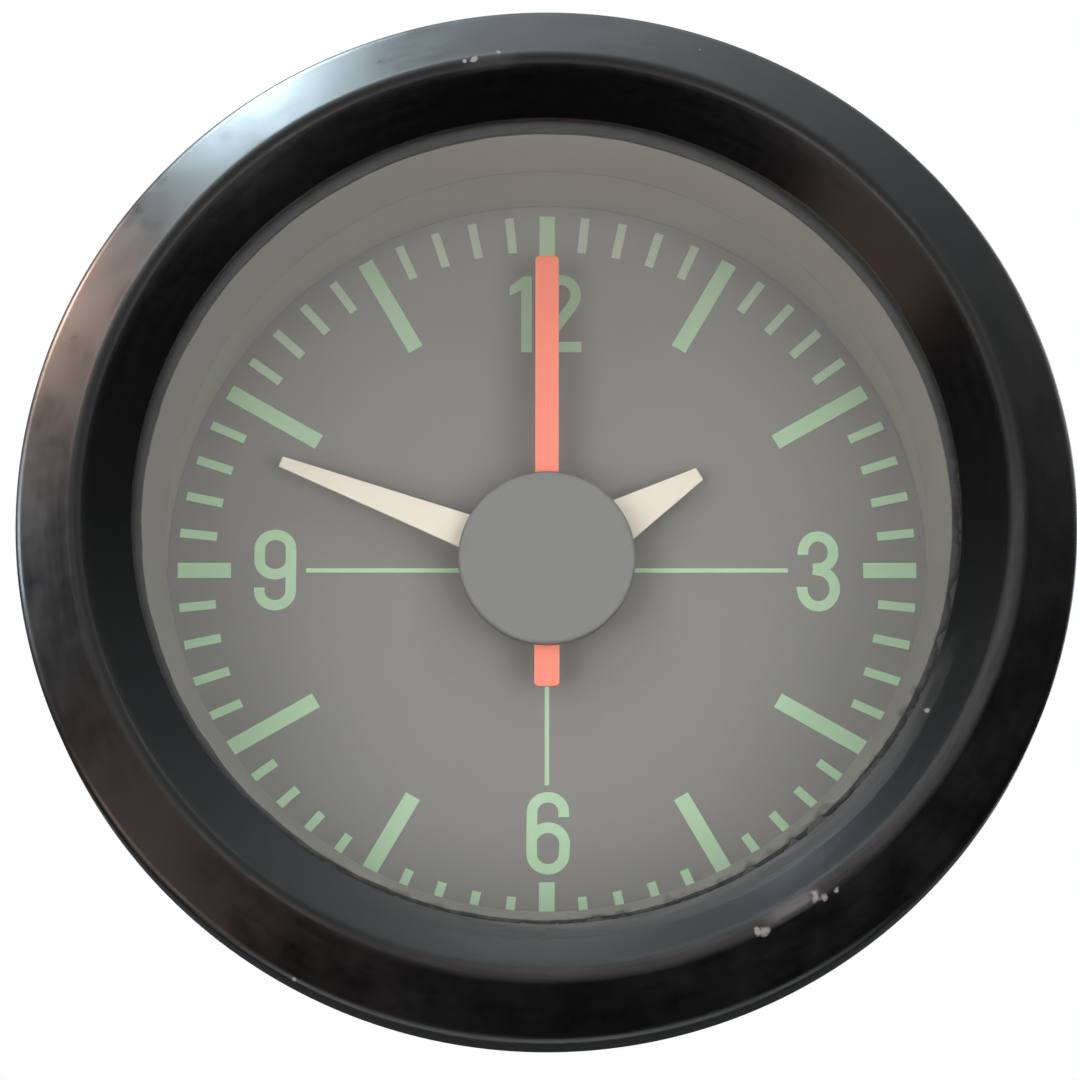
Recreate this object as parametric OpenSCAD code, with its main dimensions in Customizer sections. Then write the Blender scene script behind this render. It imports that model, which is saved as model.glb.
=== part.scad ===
// Motorcycle clock: a round quartz instrument that drops into a hole in a fairing or panel.
// The row frame has +Z towards twelve o'clock, and the dial faces -Y.
// Every sub-part is drawn lying on its back: x right, y up the dial, z towards the viewer.
// facing() then stands it up. Heights are counted from the seat plane, where the bezel
// meets the panel, so what lies behind the panel has a negative height.

/* [Bezel] */
// Outside radius of the bezel
bezel_r = 34.5; // [31:0.1:38]
// Thickness of the bezel sheet
bezel_t = 0.7; // [0.5:0.05:0.8]
// Width of the outer slope, from the bezel's edge in to the top of the front roll
slope_w = 4.1; // [3.8:0.1:4.6]
// Width of the funnel, from the top of the front roll in to the lip
funnel_w = 3.5; // [3.2:0.1:3.9]
// Rise of the front roll above the inner lip
crest_rise = 2.1; // [1.6:0.1:2.6]
// Radius of the front roll in cross section
crest_round = 0.85; // [0.81:0.01:1.1]
// Height by which the roll stands proud of the outer slope
crest_bead = 0.06; // [0.02:0.01:0.1]
// Drop from the lip to the start of the outer slope
edge_drop = 0; // [-0.3:0.1:0.6]
// Radius of the bezel's outer front edge in cross section
edge_round = 1.1; // [0.9:0.05:1.4]
// Radius of the bezel's rear corner in cross section
rear_round = 1.6; // [1.2:0.05:1.7]
// Radius of the lip's edge in cross section
lip_round = 0.2; // [0.15:0.05:0.3]
// Width of the seat that rests on the panel, outside the barrel
seat_w = 4.5; // [4:0.1:5]

/* [Glass and seal] */
// Thickness of the glass
glass_t = 1.4; // [1:0.1:2]
// Thickness of the seal under the glass
seal_t = 0.5; // [0.4:0.05:0.8]
// Width of the seal that shows inside the lip
seal_show = 0.5; // [0.3:0.05:0.8]

/* [Reflector ring] */
// Thickness of the ring's clamped flange
ring_flange_t = 1.7; // [1.4:0.1:2.2]
// Width of the ring's slope, seen from the front
ring_slope_w = 1.3; // [1:0.05:1.6]
// Height of the ring's slope
ring_slope_h = 3.9; // [3:0.1:5]
// Thickness of the slope's lower edge
ring_edge_t = 0.3; // [0.2:0.05:0.5]
// Width by which the slope's lower edge stands in front of the wall
ring_hem_w = 0.6; // [0.4:0.05:0.8]
// Thickness of the ring's wall
ring_wall_t = 1; // [0.8:0.05:1.1]

/* [Dial] */
// Depth of the dial face under the top of the reflector ring
dial_depth = 14; // [13:0.1:15]
// Thickness of the dial sheet
dial_t = 0.6; // [0.4:0.05:0.8]
// Radius of the hole for the hands
dial_hole_r = 2.4; // [2.2:0.1:3]
// Gap between the minute track and the ring's slope
track_gap = 0.1; // [0.05:0.05:0.4]
// Thickness of the luminous print
print_t = 0.05; // [0.03:0.01:0.1]
// Length and width of a minute mark
minute_mark = [2.5, 0.6];
// Length and width of an hour mark
hour_mark = [7.05, 1.08];
// Length and width of the mark at a quarter
quarter_mark = [3.6, 1.05];
// Width of the thin lines
line_w = 0.3; // [0.2:0.05:0.5]
// Distance from the track's edge in to the ends of the side lines
side_line_in = 8.7; // [8:0.1:10]
// Distance from the track's edge in to the end of the lower line
low_line_in = 10.2; // [9:0.1:12]

/* [Hands] */
// Height of the hour hand over the dial
hour_hand_h = 1.5; // [1.2:0.1:1.7]
// Step from one hand up to the next
hand_step = 0.8; // [0.7:0.05:1.2]
// Thickness of a hand
hand_t = 0.3; // [0.2:0.05:0.4]
// Distance from the track's edge in to the tip of the hour hand
hour_hand_in = 12.9; // [11:0.1:14]
// Width of the hour hand at the cap's edge and at its tip
hour_hand_w = [3.05, 0.95];
// Distance from the track's edge in to the tip of the minute hand
minute_hand_in = 5.7; // [4:0.1:8]
// Width of the minute hand at the cap's edge and at its tip
minute_hand_w = [2.35, 0.75];
// Distance from the track's edge in to the tip of the second hand
second_hand_in = 3.8; // [3:0.1:6]
// Width of the second hand
second_hand_w = 1.58; // [1.2:0.02:1.8]
// Length of the second hand's tail from the centre
second_tail_l = 8.7; // [7.5:0.1:10]
// Width of the second hand's tail
second_tail_w = 1.68; // [1.3:0.02:2]
// Corner radius of the second hand
second_round = 0.3; // [0.1:0.05:0.5]
// Width of a hand's boss round its tube
hand_boss_w = 0.6; // [0.5:0.05:0.8]
// Radius of the round cap over the hands
cap_r = 5.95; // [5:0.05:6.5]
// Thickness of the cap
cap_t = 0.7; // [0.5:0.05:1]
// Corner radius of the cap's rim
cap_round = 0.25; // [0.1:0.05:0.3]
// Minutes that the minute hand shows
shown_minute = 48.53; // [0:0.01:60]
// Hours that the hour hand shows
shown_hour = 1.95; // [0:0.01:12]

/* [Housing] */
// Wall of the barrel
barrel_t = 1.2; // [1:0.1:1.3]
// Thickness of the flange that the bezel is rolled over
flange_t = 1; // [0.8:0.1:1.4]
// Width of the shoulder between the barrel and the rolled edge
shoulder_w = 0.5; // [0.4:0.05:0.8]
// Thickness of the rear wall
rear_wall_t = 1.2; // [1:0.1:1.6]
// Radius of the edge between barrel and rear wall
barrel_round = 1.1; // [0.6:0.1:1.1]
// Step in radius from the straight barrel in to its narrower rear end
rear_step = 1.9; // [1.4:0.1:2]
// Length of the cone between the straight barrel and the rear end
cone_l = 3; // [2:0.5:5]

/* [Movement] */
// Room between the dial and the front plate
work_gap = 3.9; // [3.8:0.1:4.4]
// Thickness of the front plate
front_plate_t = 1.2; // [1.1:0.1:1.5]
// Thickness of the rim that carries the dial
plate_rim_t = 2; // [1.6:0.1:2.4]
// Room between the two plates
train_gap = 8.8; // [8.6:0.1:9.6]
// Thickness of the rear plate
rear_plate_t = 1; // [0.8:0.1:1.4]
// Width by which the front plate passes the rear plate
rear_plate_in = 1.5; // [1:0.1:3]
// Distance from the rear plate's edge in to the pillars
pillar_in = 3; // [2.8:0.1:3.4]
// Radius of a pillar
pillar_r = 2.2; // [1.9:0.1:2.4]
// Directions of the pillars, counted from three o'clock
pillar_angles = [50, 200, 300];
// Radius of the long case screws
case_screw_r = 1.25; // [1:0.05:1.35]
// Radius of the light windows through the front plate
light_window_r = 1.6; // [1.2:0.1:1.8]
// Directions in which the light windows start, counted from three o'clock
light_window_angles = [75, 165, 250, 340];
// Radius of the holes that lighten the rear plate
rear_hole_r = 4.3; // [3:0.1:4.5]
// Distance from the rear plate's edge in to those holes
rear_hole_in = 9.7; // [9:0.1:11]
// Directions of those holes, counted from three o'clock
rear_hole_angles = [160, 245];

/* [Gear train] */
// Distance from the centre arbor to the third and the intermediate arbor
train_centre = 9; // [8.95:0.01:9.1]
// Distance from the centre arbor to the motion arbor
motion_centre = 10; // [9.9:0.05:10.2]
// Distance from the intermediate arbor to the rotor
rotor_centre = 7.2; // [7.1:0.05:7.3]
// Thickness of a wheel
wheel_t = 0.8; // [0.6:0.05:0.9]
// Width of a wheel's hub round its bore
hub_w = 1.2; // [1:0.1:1.4]
// Width of a wheel's rim under its teeth
wheel_rim_w = 0.7; // [0.5:0.05:1]
// Length by which a pinion passes its wheel on each side
pinion_over = 0.3; // [0.2:0.05:0.35]
// Step from one wheel's level to the next
level_step = 1.9; // [1.85:0.05:1.95]
// Thinning of each tooth for backlash, along the pitch circle
tooth_thin = 0.06; // [0.05:0.01:0.08]
// Radius of an arbor between the plates
arbor_r = 0.45; // [0.4:0.01:0.5]
// Radius of a pivot
pivot_r = 0.3; // [0.25:0.01:0.35]
// Length by which a pivot enters the front plate
pivot_l = 0.6; // [0.5:0.05:0.8]
// Radius of the second arbor
second_arbor_r = 0.4; // [0.35:0.01:0.42]
// Radius of the minute tube
minute_tube_r = 0.95; // [0.9:0.01:1]
// Radius of the hour tube
hour_tube_r = 1.6; // [1.5:0.05:1.8]
// Radius of the motion arbor
motion_arbor_r = 0.8; // [0.7:0.05:0.9]

/* [Stepping motor] */
// Direction from the rotor to the coil, counted from three o'clock
motor_angle = -60; // [-63:1:-58]
// Radius of the rotor magnet
magnet_r = 2.4; // [2:0.1:2.5]
// Length of the rotor magnet
magnet_l = 3.2; // [2.6:0.1:3.4]
// Air gap between the magnet and the stator
air_gap = 0.4; // [0.3:0.05:0.5]
// Width of the stator beside the air gap
stator_web = 1; // [0.8:0.1:1.2]
// Thickness of the stator sheet, and of the coil core
stator_t = 1; // [0.8:0.05:1]
// Width of the stator's legs
stator_leg_w = 3; // [2.8:0.1:3.2]
// Radius of the two notches that give the rotor its rest
notch_r = 0.5; // [0.3:0.05:0.6]
// Distance from the rotor to the coil's axis
coil_offset = 8; // [7.8:0.1:8.3]
// Half of the distance between the coil's two screws
coil_half = 6.6; // [6.4:0.1:7]
// Width of the coil core inside the winding
core_w = 2.6; // [2.2:0.1:2.8]
// Radius of the winding
coil_r = 3; // [2.7:0.1:3.1]
// Radius of the bobbin's tube
bobbin_r = 2; // [1.8:0.1:2.2]
// Thickness of the bobbin's cheeks
bobbin_cheek_t = 0.6; // [0.4:0.05:0.8]
// Gap between the bobbin and the stator's legs
bobbin_gap = 0.3; // [0.2:0.05:0.5]
// Radius of the motor screws
motor_screw_r = 0.8; // [0.7:0.05:0.9]

/* [Circuit board] */
// Room between the rear plate and the board
board_gap = 3; // [2.9:0.1:3.4]
// Thickness of the board
board_t = 1.6; // [1.2:0.1:1.7]
// Width by which the front plate passes the board
board_in = 2; // [1.5:0.1:2.4]
// Radius of the round notches in the board's sides
scallop_r = 20.5; // [18:0.5:24]
// Depth of those notches
scallop_d = 1.5; // [1:0.1:2]
// Room between the board and the rear wall
rear_room = 9.2; // [9:0.1:11]
// Length, width and height of the driver chip
chip_size = [9.5, 6.4, 3.2];
// Place of the chip's middle
chip_at = [-11.25, -2.8];
// Step from one of the chip's legs to the next
chip_pitch = 2.54; // [2.5:0.01:2.6]
// Width and thickness of a leg of the chip
chip_leg = [0.5, 0.4];
// Height of the chip over the board
chip_lift = 0.4; // [0.3:0.05:0.6]
// Radius and length of the quartz crystal's can
crystal_size = [1.5, 8];
// Place of the crystal's foot
crystal_at = [-17, 8];
// Width and thickness of the crystal's rim
crystal_rim = [0.1, 0.5];
// Radius and height of the capacitor
capacitor_size = [3.2, 7];
// Place of the capacitor
capacitor_at = [13, 5];
// Radius and height of the capacitor's foot
capacitor_foot = [2.9, 0.4];

/* [Setting knob] */
// Radius of the setting stem
stem_r = 1.2; // [1:0.05:1.3]
// Travel of the knob when it is pushed in
set_travel = 1.8; // [1.6:0.1:1.9]
// Radius of the clutch cup on the motion arbor
clutch_r = 2.4; // [2.3:0.05:2.6]
// Inner radius of the clutch's dogs
dog_inner_r = 1.3; // [1.2:0.05:1.4]
// Length of the clutch's dogs
dog_l = 1.5; // [1.3:0.1:1.6]
// Width of the stem's cross key
key_w = 0.7; // [0.6:0.05:0.8]
// Length of the stem's cross key
key_l = 1.2; // [1:0.1:1.3]
// Radius of the knob
knob_r = 5.5; // [4.8:0.1:5.8]
// Length of the knob
knob_l = 7; // [6:0.1:9]
// Length of the knob's bore
knob_bore_l = 5; // [4:0.1:6]
// Number of flutes round the knob
knob_flutes = 20; // [16:1:24]
// Radius of a flute
flute_r = 0.6; // [0.4:0.05:0.7]
// Radius of the bush in the rear wall
bush_r = 2.4; // [2:0.1:2.8]
// Radius and thickness of the bush's flange
bush_flange = [3.4, 0.8];
// Radius and thickness of the clip on the stem
clip_size = [2, 0.4];
// Thickness of the washer under the return spring
spring_washer_t = 0.5; // [0.4:0.05:0.7]
// Wire radius of the return spring
spring_wire_r = 0.2; // [0.15:0.01:0.25]
// Turns of the return spring
spring_turns = 6; // [5:1:7]

/* [Lamp] */
// Distance from the front plate's edge in to the lamp's axis
lamp_in = 11.5; // [11:0.1:12]
// Radius of the lamp holder's body
holder_r = 4.9; // [4.5:0.1:5.2]
// Radius and thickness of the lamp holder's flange
holder_flange = [6.5, 2];
// Radius and length of the holder's neck behind the flange
holder_neck = [4, 5];
// Length and thickness of the holder's grip behind the flange
holder_grip = [8, 3];
// Length by which the holder enters the housing
holder_in = 2.5; // [2:0.1:3]
// Radius of the bulb
bulb_r = 2.6; // [2.3:0.1:3]
// Length of the bulb in front of its holder
bulb_l = 9; // [7:0.1:10]
// Radius of the bulb's pinch
pinch_r = 2.25; // [2:0.05:2.3]
// Length of the pinch in its socket
pinch_l = 4.9; // [4:0.1:5.5]

/* [Terminals] */
// Clearance between the knob and the terminal block
terminal_gap = 1.15; // [1:0.05:1.5]
// Half of the distance between the two blades
blade_half = 4.2; // [3.9:0.1:4.4]
// Width of a blade
blade_w = 6.3; // [5.8:0.1:6.4]
// Thickness of a blade
blade_t = 0.8; // [0.6:0.05:0.9]
// Length of a blade behind its block
blade_l = 8.5; // [7:0.1:10]
// Radius of the hole near a blade's tip, and its distance from the tip
blade_hole = [0.9, 3];
// Walls of the block's neck beside and above the blades
neck_wall = [1.2, 0.4];
// Width by which the block passes its neck, sideways and upwards
block_rim = [1.7, 0.8];
// Thickness of the terminal block behind the rear wall
block_t = 2; // [1.5:0.1:3]

/* [Mounting studs] */
// Distance between the two studs
stud_spacing = 38; // [37:0.1:39]
// Radius of a stud where the clamp bracket goes on
stud_r = 2; // [1.9:0.1:2.2]
// Radius of a stud's thicker root, which its nut holds in the rear wall
stud_root_r = 2.5; // [2.4:0.1:2.7]
// Radius and thickness of a stud's head inside the housing
stud_head = [3.9, 1.2];
// Length of a stud behind the rear wall
stud_l = 18; // [15:0.5:22]
// Thickness of the washers
washer_t = 0.8; // [0.5:0.1:1.2]
// Radius of the knurled nuts
nut_r = 4.4; // [4:0.1:4.6]
// Length of the knurled nuts
nut_l = 4; // [3:0.1:5]
// Number of flutes round a nut
nut_flutes = 18; // [14:1:22]

/* [Clearances] */
// Radial running clearance of a shaft in its hole
run_gap = 0.05; // [0.03:0.01:0.08]
// Radial gap of a piece pressed on its shaft
press_gap = 0.01; // [0.005:0.005:0.02]
// Radial clearance of a screw in its hole
screw_gap = 0.1; // [0.05:0.05:0.15]
// Clearance round a piece dropped into another
drop_gap = 0.3; // [0.2:0.05:0.35]
// Clearance of the sheet's edge round a piece that it is rolled over
roll_gap = 0.1; // [0.05:0.05:0.15]
// Play of an arbor between its plates, at each end
end_play = 0.1; // [0.05:0.01:0.15]

/* [Hidden] */
$fn = 96;

// Length by which a cutting form passes the solid that it cuts
cut = 1;
// Depth by which two forms of one solid sink into each other
fuse = 0.1;
// Heights from the seat plane to the front
flange_z = bezel_t;
flange_top = flange_z + flange_t;
ring_top = flange_top + ring_flange_t;
seal_top = ring_top + seal_t;
glass_top = seal_top + glass_t;
lip_top = glass_top + bezel_t;
crest_top = lip_top + crest_rise;
// Heights from the reflector ring to the rear
dial_face = ring_top - dial_depth;
dial_back = dial_face - dial_t;
plate_front = dial_back - work_gap;
plate_back = plate_front - front_plate_t;
rear_front = plate_back - train_gap;
rear_back = rear_front - rear_plate_t;
board_front = rear_back - board_gap;
board_back = board_front - board_t;
wall_front = board_back - rear_room;
wall_back = wall_front - rear_wall_t;
cone_rear = board_front - cone_l;
// Radii from the bezel's edge inwards
stack_r = bezel_r - rear_round - roll_gap;
crest_r = bezel_r - slope_w;
lip_r = crest_r - funnel_w;
seal_r = lip_r - seal_show;
ring_low_r = seal_r - ring_slope_w;
ring_wall_r = ring_low_r + ring_hem_w;
track_r = ring_low_r - track_gap;
barrel_r = bezel_r - seat_w;
shoulder_r = barrel_r + shoulder_w;
crimp_r = shoulder_r + roll_gap;
inside_r = barrel_r - barrel_t;
rear_r = barrel_r - rear_step;
plate_r = inside_r - drop_gap;
rear_plate_r = plate_r - rear_plate_in;
pillar_pcd_r = rear_plate_r - pillar_in;
board_r = plate_r - board_in;
// Centres and directions in the bezel's section
edge_c = [bezel_r - edge_round, lip_top - edge_drop - edge_round];
rear_c = [bezel_r - rear_round, rear_round];
crest_c = [crest_r, crest_top - crest_round];
lip_c = [lip_r + lip_round, lip_top - lip_round];
slope_normal = tangent_normal(edge_c, edge_round, crest_c, crest_round - crest_bead);
funnel_normal = tangent_normal(crest_c, crest_round, lip_c, lip_round);
bead_angle = acos((crest_round - crest_bead) / crest_round);
// Where the funnel's underside meets the glass
funnel_start = crest_c + (crest_round - bezel_t) * [cos(funnel_normal), sin(funnel_normal)];
funnel_foot_r = funnel_start[0] + (funnel_start[1] - glass_top) * tan(funnel_normal);
// Lengths of the hands
hour_hand_l = track_r - hour_hand_in;
minute_hand_l = track_r - minute_hand_in;
second_hand_l = track_r - second_hand_in;
// Length of a hand's root under the cap, and the share of its width at the centre
hand_root_l = 1.6;
hand_centre_share = 0.6;
// Undersides of the hands
hour_hand_z = dial_face + hour_hand_h;
minute_hand_z = hour_hand_z + hand_step;
second_hand_z = minute_hand_z + hand_step;
cap_z = second_hand_z + hand_t;
// Steps by which the tubes narrow where their hands are pressed on
hour_neck = 0.3;
minute_neck = 0.2;
// Undersides of the wheels, from the front plate back
level_room = 0.5;
centre_z = plate_back - level_room - wheel_t;
third_z = centre_z - level_step;
second_z = third_z - level_step;
intermediate_z = second_z - level_step;
// Undersides of the motion work in front of the front plate
motion_z = plate_front + 0.45;
hour_z = motion_z + wheel_t + 0.55;
// Teeth of the train
second_pinion_n = 8;
third_n = 60;
third_pinion_n = 8;
centre_n = 64;
cannon_n = 12;
motion_n = 36;
motion_pinion_n = 10;
hour_n = 40;
rotor_pinion_n = 8;
intermediate_n = 40;
intermediate_pinion_n = 8;
second_n = 48;
// Directions between the arbors, counted from three o'clock
third_dir = 150;
intermediate_dir = 20;
rotor_dir = -60;
motion_dir = -90;
// Places of the arbors
third_at = train_centre * [cos(third_dir), sin(third_dir)];
intermediate_at = train_centre * [cos(intermediate_dir), sin(intermediate_dir)];
rotor_at = intermediate_at + rotor_centre * [cos(rotor_dir), sin(rotor_dir)];
motion_at = motion_centre * [cos(motion_dir), sin(motion_dir)];
// Tooth form: pressure angle, and height over and under the pitch circle in modules
pressure = 20;
tooth_head = 0.75;
tooth_foot = 1.15;
flank_steps = 2;
// A wheel's round windows: how many, and the share of the space between hub and rim
wheel_windows = 5;
window_share = 0.86;
// Light windows through the front plate: distance in from the pillars, and their steps
light_window_in = 0.5;
light_window_steps = [0:6:18];
// Motor: drop of the stator under the third wheel, and the direction of its notches
stator_z = third_z - 0.6;
notch_dir = 20;
coil_z = stator_z - stator_t / 2;
bobbin_half = coil_half - stator_leg_w / 2 - bobbin_gap;
bobbin_cheek_r = coil_r + 0.2;
// Screws
screw_head_t = 1.6;
screw_slot_w = 0.7;
screw_bite = 0.7;
motor_head_t = 0.8;
motor_bite = 1.4;
boss_r = motor_screw_r + 0.9;
// Clutch between the setting stem and the motion arbor
cup_z = rear_back - drop_gap;
cup_floor_t = 0.5;
dog_half_angle = 12;
key_gap = 0.6;
key_clear = 0.2;
key_z = cup_z - cup_floor_t - dog_l - key_gap;
key_r = clutch_r - key_clear;
// Knob, and the stack on its stem
knob_room = 0.4;
knob_z = wall_back - set_travel - knob_room - knob_l;
flute_out = 0.25;
flute_end = 0.4;
dimple_r = 3.3;
dimple_d = 0.6;
clip_z = wall_front + bush_flange[1] + end_play;
spring_washer_z = clip_z + clip_size[1] + run_gap;
spring_washer_r = key_r + 1.05;
// Return spring: a wire of few sides, with its ends against the washer and the board
spring_r = key_r + 0.25 + 2 * spring_wire_r;
spring_low = spring_washer_z + spring_washer_t + spring_wire_r;
spring_high = board_back - spring_wire_r;
spring_rings = 12;
spring_sides = 6;
// Lamp, and its room in the board
lamp_at = [0, plate_r - lamp_in];
holder_front = wall_front + holder_in;
holder_room = 1;
bulb_foot_h = 1;
// Terminals
neck_half = [blade_half + blade_t / 2 + neck_wall[0], blade_w / 2 + neck_wall[1]];
block_half = neck_half + block_rim;
terminal_at = [0, -motion_centre - knob_r - terminal_gap - block_half[1]];
neck_in = 1;
blade_chamfer = 1;
// Nuts
nut_flute_r = 0.45;
nut_flute_out = 0.2;
nut_band_l = 0.8;

// Stands a sub-part up: its height turns towards the viewer
module facing() {
    rotate([90, 0, 0]) children();
}

// Puts a sub-part at a place on the dial and a height over the seat plane
module place(at, z) {
    translate([at[0], at[1], z]) children();
}

// A cylinder from one height up to another
module rod(r, from, to) {
    translate([0, 0, from]) cylinder(h = to - from, r = r);
}

// A tube from one height up to another
module tube(outer, inner, from, to) {
    difference() {
        rod(outer, from, to);
        rod(inner, from - cut, to + cut);
    }
}

// A box from corner to corner
module block(low, high) {
    translate(low) cube(high - low);
}

// Points on an arc round a centre, from one angle to another
function arc(centre, r, from, to, steps) =
    [for (i = [0:steps]) let (a = from + (to - from) * i / steps) centre + r * [cos(a), sin(a)]];

// Direction of the common normal where a line runs outside two rounds
function tangent_normal(a, ra, b, rb) =
    let (d = b - a) (atan2(d[1], d[0]) - acos((ra - rb) / norm(d)) + 360) % 360;

// Outline of a bar with rounded corners
function rounded_bar(low, high, r) = concat(
    arc([high[0] - r, low[1] + r], r, -90, 0, 4), arc([high[0] - r, high[1] - r], r, 0, 90, 4),
    arc([low[0] + r, high[1] - r], r, 90, 180, 4), arc([low[0] + r, low[1] + r], r, 180, 270, 4));

// Involute of an angle, in degrees
function involute(a) = tan(a) * 180 / PI - a;

// One flank of a tooth as radius and angle from the tooth's middle, from root to tip
function flank(n, m) =
    let (pitch_r = m * n / 2, base_r = pitch_r * cos(pressure), tip_r = pitch_r + tooth_head * m,
        root_r = pitch_r - tooth_foot * m, start_r = max(base_r, root_r),
        half = 90 / n - tooth_thin / (2 * pitch_r) * 180 / PI,
        curve = [for (i = [0:flank_steps]) let (r = start_r + (tip_r - start_r) * i / flank_steps)
            [r, half + involute(pressure) - involute(acos(min(1, base_r / r)))]])
    root_r < base_r ? concat([[root_r, curve[0][1]]], curve) : curve;

// Outline of a gear, with a tooth pointing to the right
function gear_outline(n, m) =
    let (up = flank(n, m), last = len(up) - 1,
        tooth = concat([for (p = up) [p[0], -p[1]]], [for (i = [last:-1:0]) up[i]]))
    [for (k = [0:n - 1]) for (p = tooth) p[0] * [cos(360 * k / n + p[1]), sin(360 * k / n + p[1])]];

// Module of a pair of gears from their distance and teeth
function pair_module(distance, n1, n2) = 2 * distance / (n1 + n2);

// A toothed disc with its underside at height 0
module gear(n, m, t, bore) {
    difference() {
        linear_extrude(height = t) polygon(gear_outline(n, m));
        rod(bore, -cut, t + cut);
    }
}

// A wheel with round windows between its rim and its hub
module wheel(n, m, bore) {
    hub = bore + hub_w;
    window = (m * n / 2 - tooth_foot * m - wheel_rim_w - hub) / 2;
    difference() {
        gear(n, m, wheel_t, bore);
        for (i = [1:wheel_windows]) rotate(360 * i / wheel_windows) translate([hub + window, 0, 0])
            rod(window * window_share, -cut, wheel_t + cut);
    }
}

// Turns a wheel so that a space faces the pinion that lies in the given direction
function wheel_turn(dir, n) = dir + 180 / n;

// Pillar places, each with its own axis
module at_pillars() {
    for (a = pillar_angles) translate(pillar_pcd_r * [cos(a), sin(a), 0]) children();
}

// The motor's own frame: rotor at the origin, coil towards x
module at_motor() {
    place(rotor_at, 0) rotate(motor_angle) children();
}

// The two screws that clamp the coil core to the stator
module at_motor_screws() {
    at_motor() for (s = [-1, 1]) translate([coil_offset, s * coil_half, 0]) children();
}

// Bezel: one sheet rolled over the glass in front and the housing's flange behind
function bezel_outline() = concat(
    [[crimp_r, 0]],
    arc(rear_c, rear_round, -90, 0, 6),
    arc(edge_c, edge_round, 0, slope_normal, 8),
    arc(crest_c, crest_round, slope_normal - bead_angle, funnel_normal, 12),
    arc(lip_c, lip_round, funnel_normal, 180, 4),
    [[lip_r, glass_top], [funnel_foot_r, glass_top]],
    arc(crest_c, crest_round - bezel_t, funnel_normal, slope_normal, 3),
    arc(edge_c, edge_round - bezel_t, slope_normal, 0, 3),
    arc(rear_c, rear_round - bezel_t, 0, -90, 4),
    [[crimp_r, flange_z]]);

module bezel() {
    color("#17191b") facing() rotate_extrude() polygon(bezel_outline());
}

module lens() {
    color("#dfe8ea", 0.35) facing() rod(stack_r, seal_top, glass_top);
}

module lens_seal() {
    color("#1c1c1c") facing() tube(stack_r, seal_r, ring_top, seal_top);
}

// Reflector ring: a clamped flange, a slope that frames the view and a wall that holds the dial down
module reflector_ring() {
    low = ring_top - ring_slope_h;
    hem = low - ring_edge_t;
    outer = ring_wall_r + ring_wall_t;
    color("#85847d") facing() rotate_extrude() polygon([
        [seal_r, ring_top], [stack_r, ring_top], [stack_r, flange_top], [outer, flange_top],
        [outer, dial_face], [ring_wall_r, dial_face], [ring_wall_r, hem - ring_hem_w], [ring_low_r, hem],
        [ring_low_r, low]]);
}

module dial() {
    color("#85867f") facing() tube(plate_r, dial_hole_r, dial_back, dial_face);
}

// A printed mark that ends on the minute track
module mark(size) {
    block([-size[1] / 2, track_r - size[0], dial_face], [size[1] / 2, track_r, dial_face + print_t]);
}

module dial_print() {
    color("#a9cfa8") facing() {
        for (m = [0:59]) rotate(-6 * m)
            mark(m % 15 == 0 ? quarter_mark : m % 5 == 0 ? hour_mark : minute_mark);
        for (a = [-90, 90]) rotate(a) thin_line(track_r - side_line_in);
        rotate(180) thin_line(track_r - low_line_in);
    }
}

// A thin line from under the cap outwards
module thin_line(end) {
    block([-line_w / 2, dial_hole_r + line_w, dial_face], [line_w / 2, end, dial_face + print_t]);
}

// Housing: a pressed cup whose flange the bezel is rolled over
module housing() {
    color("#26282a") facing() difference() {
        rotate_extrude() polygon(concat(
            [[inside_r, flange_top], [inside_r, board_front], [inside_r - rear_step, cone_rear],
                [inside_r - rear_step, wall_front], [0, wall_front], [0, wall_back]],
            arc([rear_r - barrel_round, wall_back + barrel_round], barrel_round, -90, 0, 5),
            [[rear_r, cone_rear], [barrel_r, board_front], [barrel_r, 0], [shoulder_r, 0],
                [shoulder_r, flange_z], [stack_r, flange_z], [stack_r, flange_top]]));
        at_pillars() rod(case_screw_r + screw_gap, wall_back - cut, wall_front + cut);
        at_studs() rod(stud_root_r + press_gap, wall_back - cut, wall_front + cut);
        place(motion_at, 0) rod(bush_r + press_gap, wall_back - cut, wall_front + cut);
        place(lamp_at, 0) rod(holder_r + screw_gap, wall_back - cut, wall_front + cut);
        place(terminal_at, 0) block_neck(wall_back - cut, wall_front + cut, screw_gap);
    }
}

// Front plate: a moulded cup whose rim carries the dial and whose floor carries the train
module front_plate() {
    color("#d9d6cb") facing() difference() {
        union() {
            tube(plate_r, plate_r - plate_rim_t, plate_front, dial_back);
            rod(plate_r, plate_back, plate_front);
            at_motor_screws() rod(boss_r, stator_z + stator_t, plate_back);
        }
        rod(minute_tube_r + run_gap, plate_back - cut, plate_front + cut);
        place(motion_at, 0) rod(motion_arbor_r + run_gap, plate_back - cut, plate_front + cut);
        for (at = [third_at, intermediate_at, rotor_at]) place(at, 0) pivot_hole();
        at_pillars() rod(case_screw_r + press_gap, plate_back - cut, plate_back + screw_bite + screw_gap);
        at_motor_screws()
            rod(motor_screw_r + press_gap, stator_z, stator_z + stator_t + motor_bite + screw_gap);
        for (a = light_window_angles) rotate(a) light_window();
    }
}

// A window through the front plate's floor that lets the lamp light the ring
module light_window() {
    for (a = light_window_steps) rotate(a) translate([pillar_pcd_r - light_window_in, 0, 0])
        rod(light_window_r, plate_back - cut, plate_front + cut);
}

// Blind hole for a pivot in the front plate
module pivot_hole() {
    rod(pivot_r + run_gap, plate_back - cut, plate_back + pivot_l + end_play);
}

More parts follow.
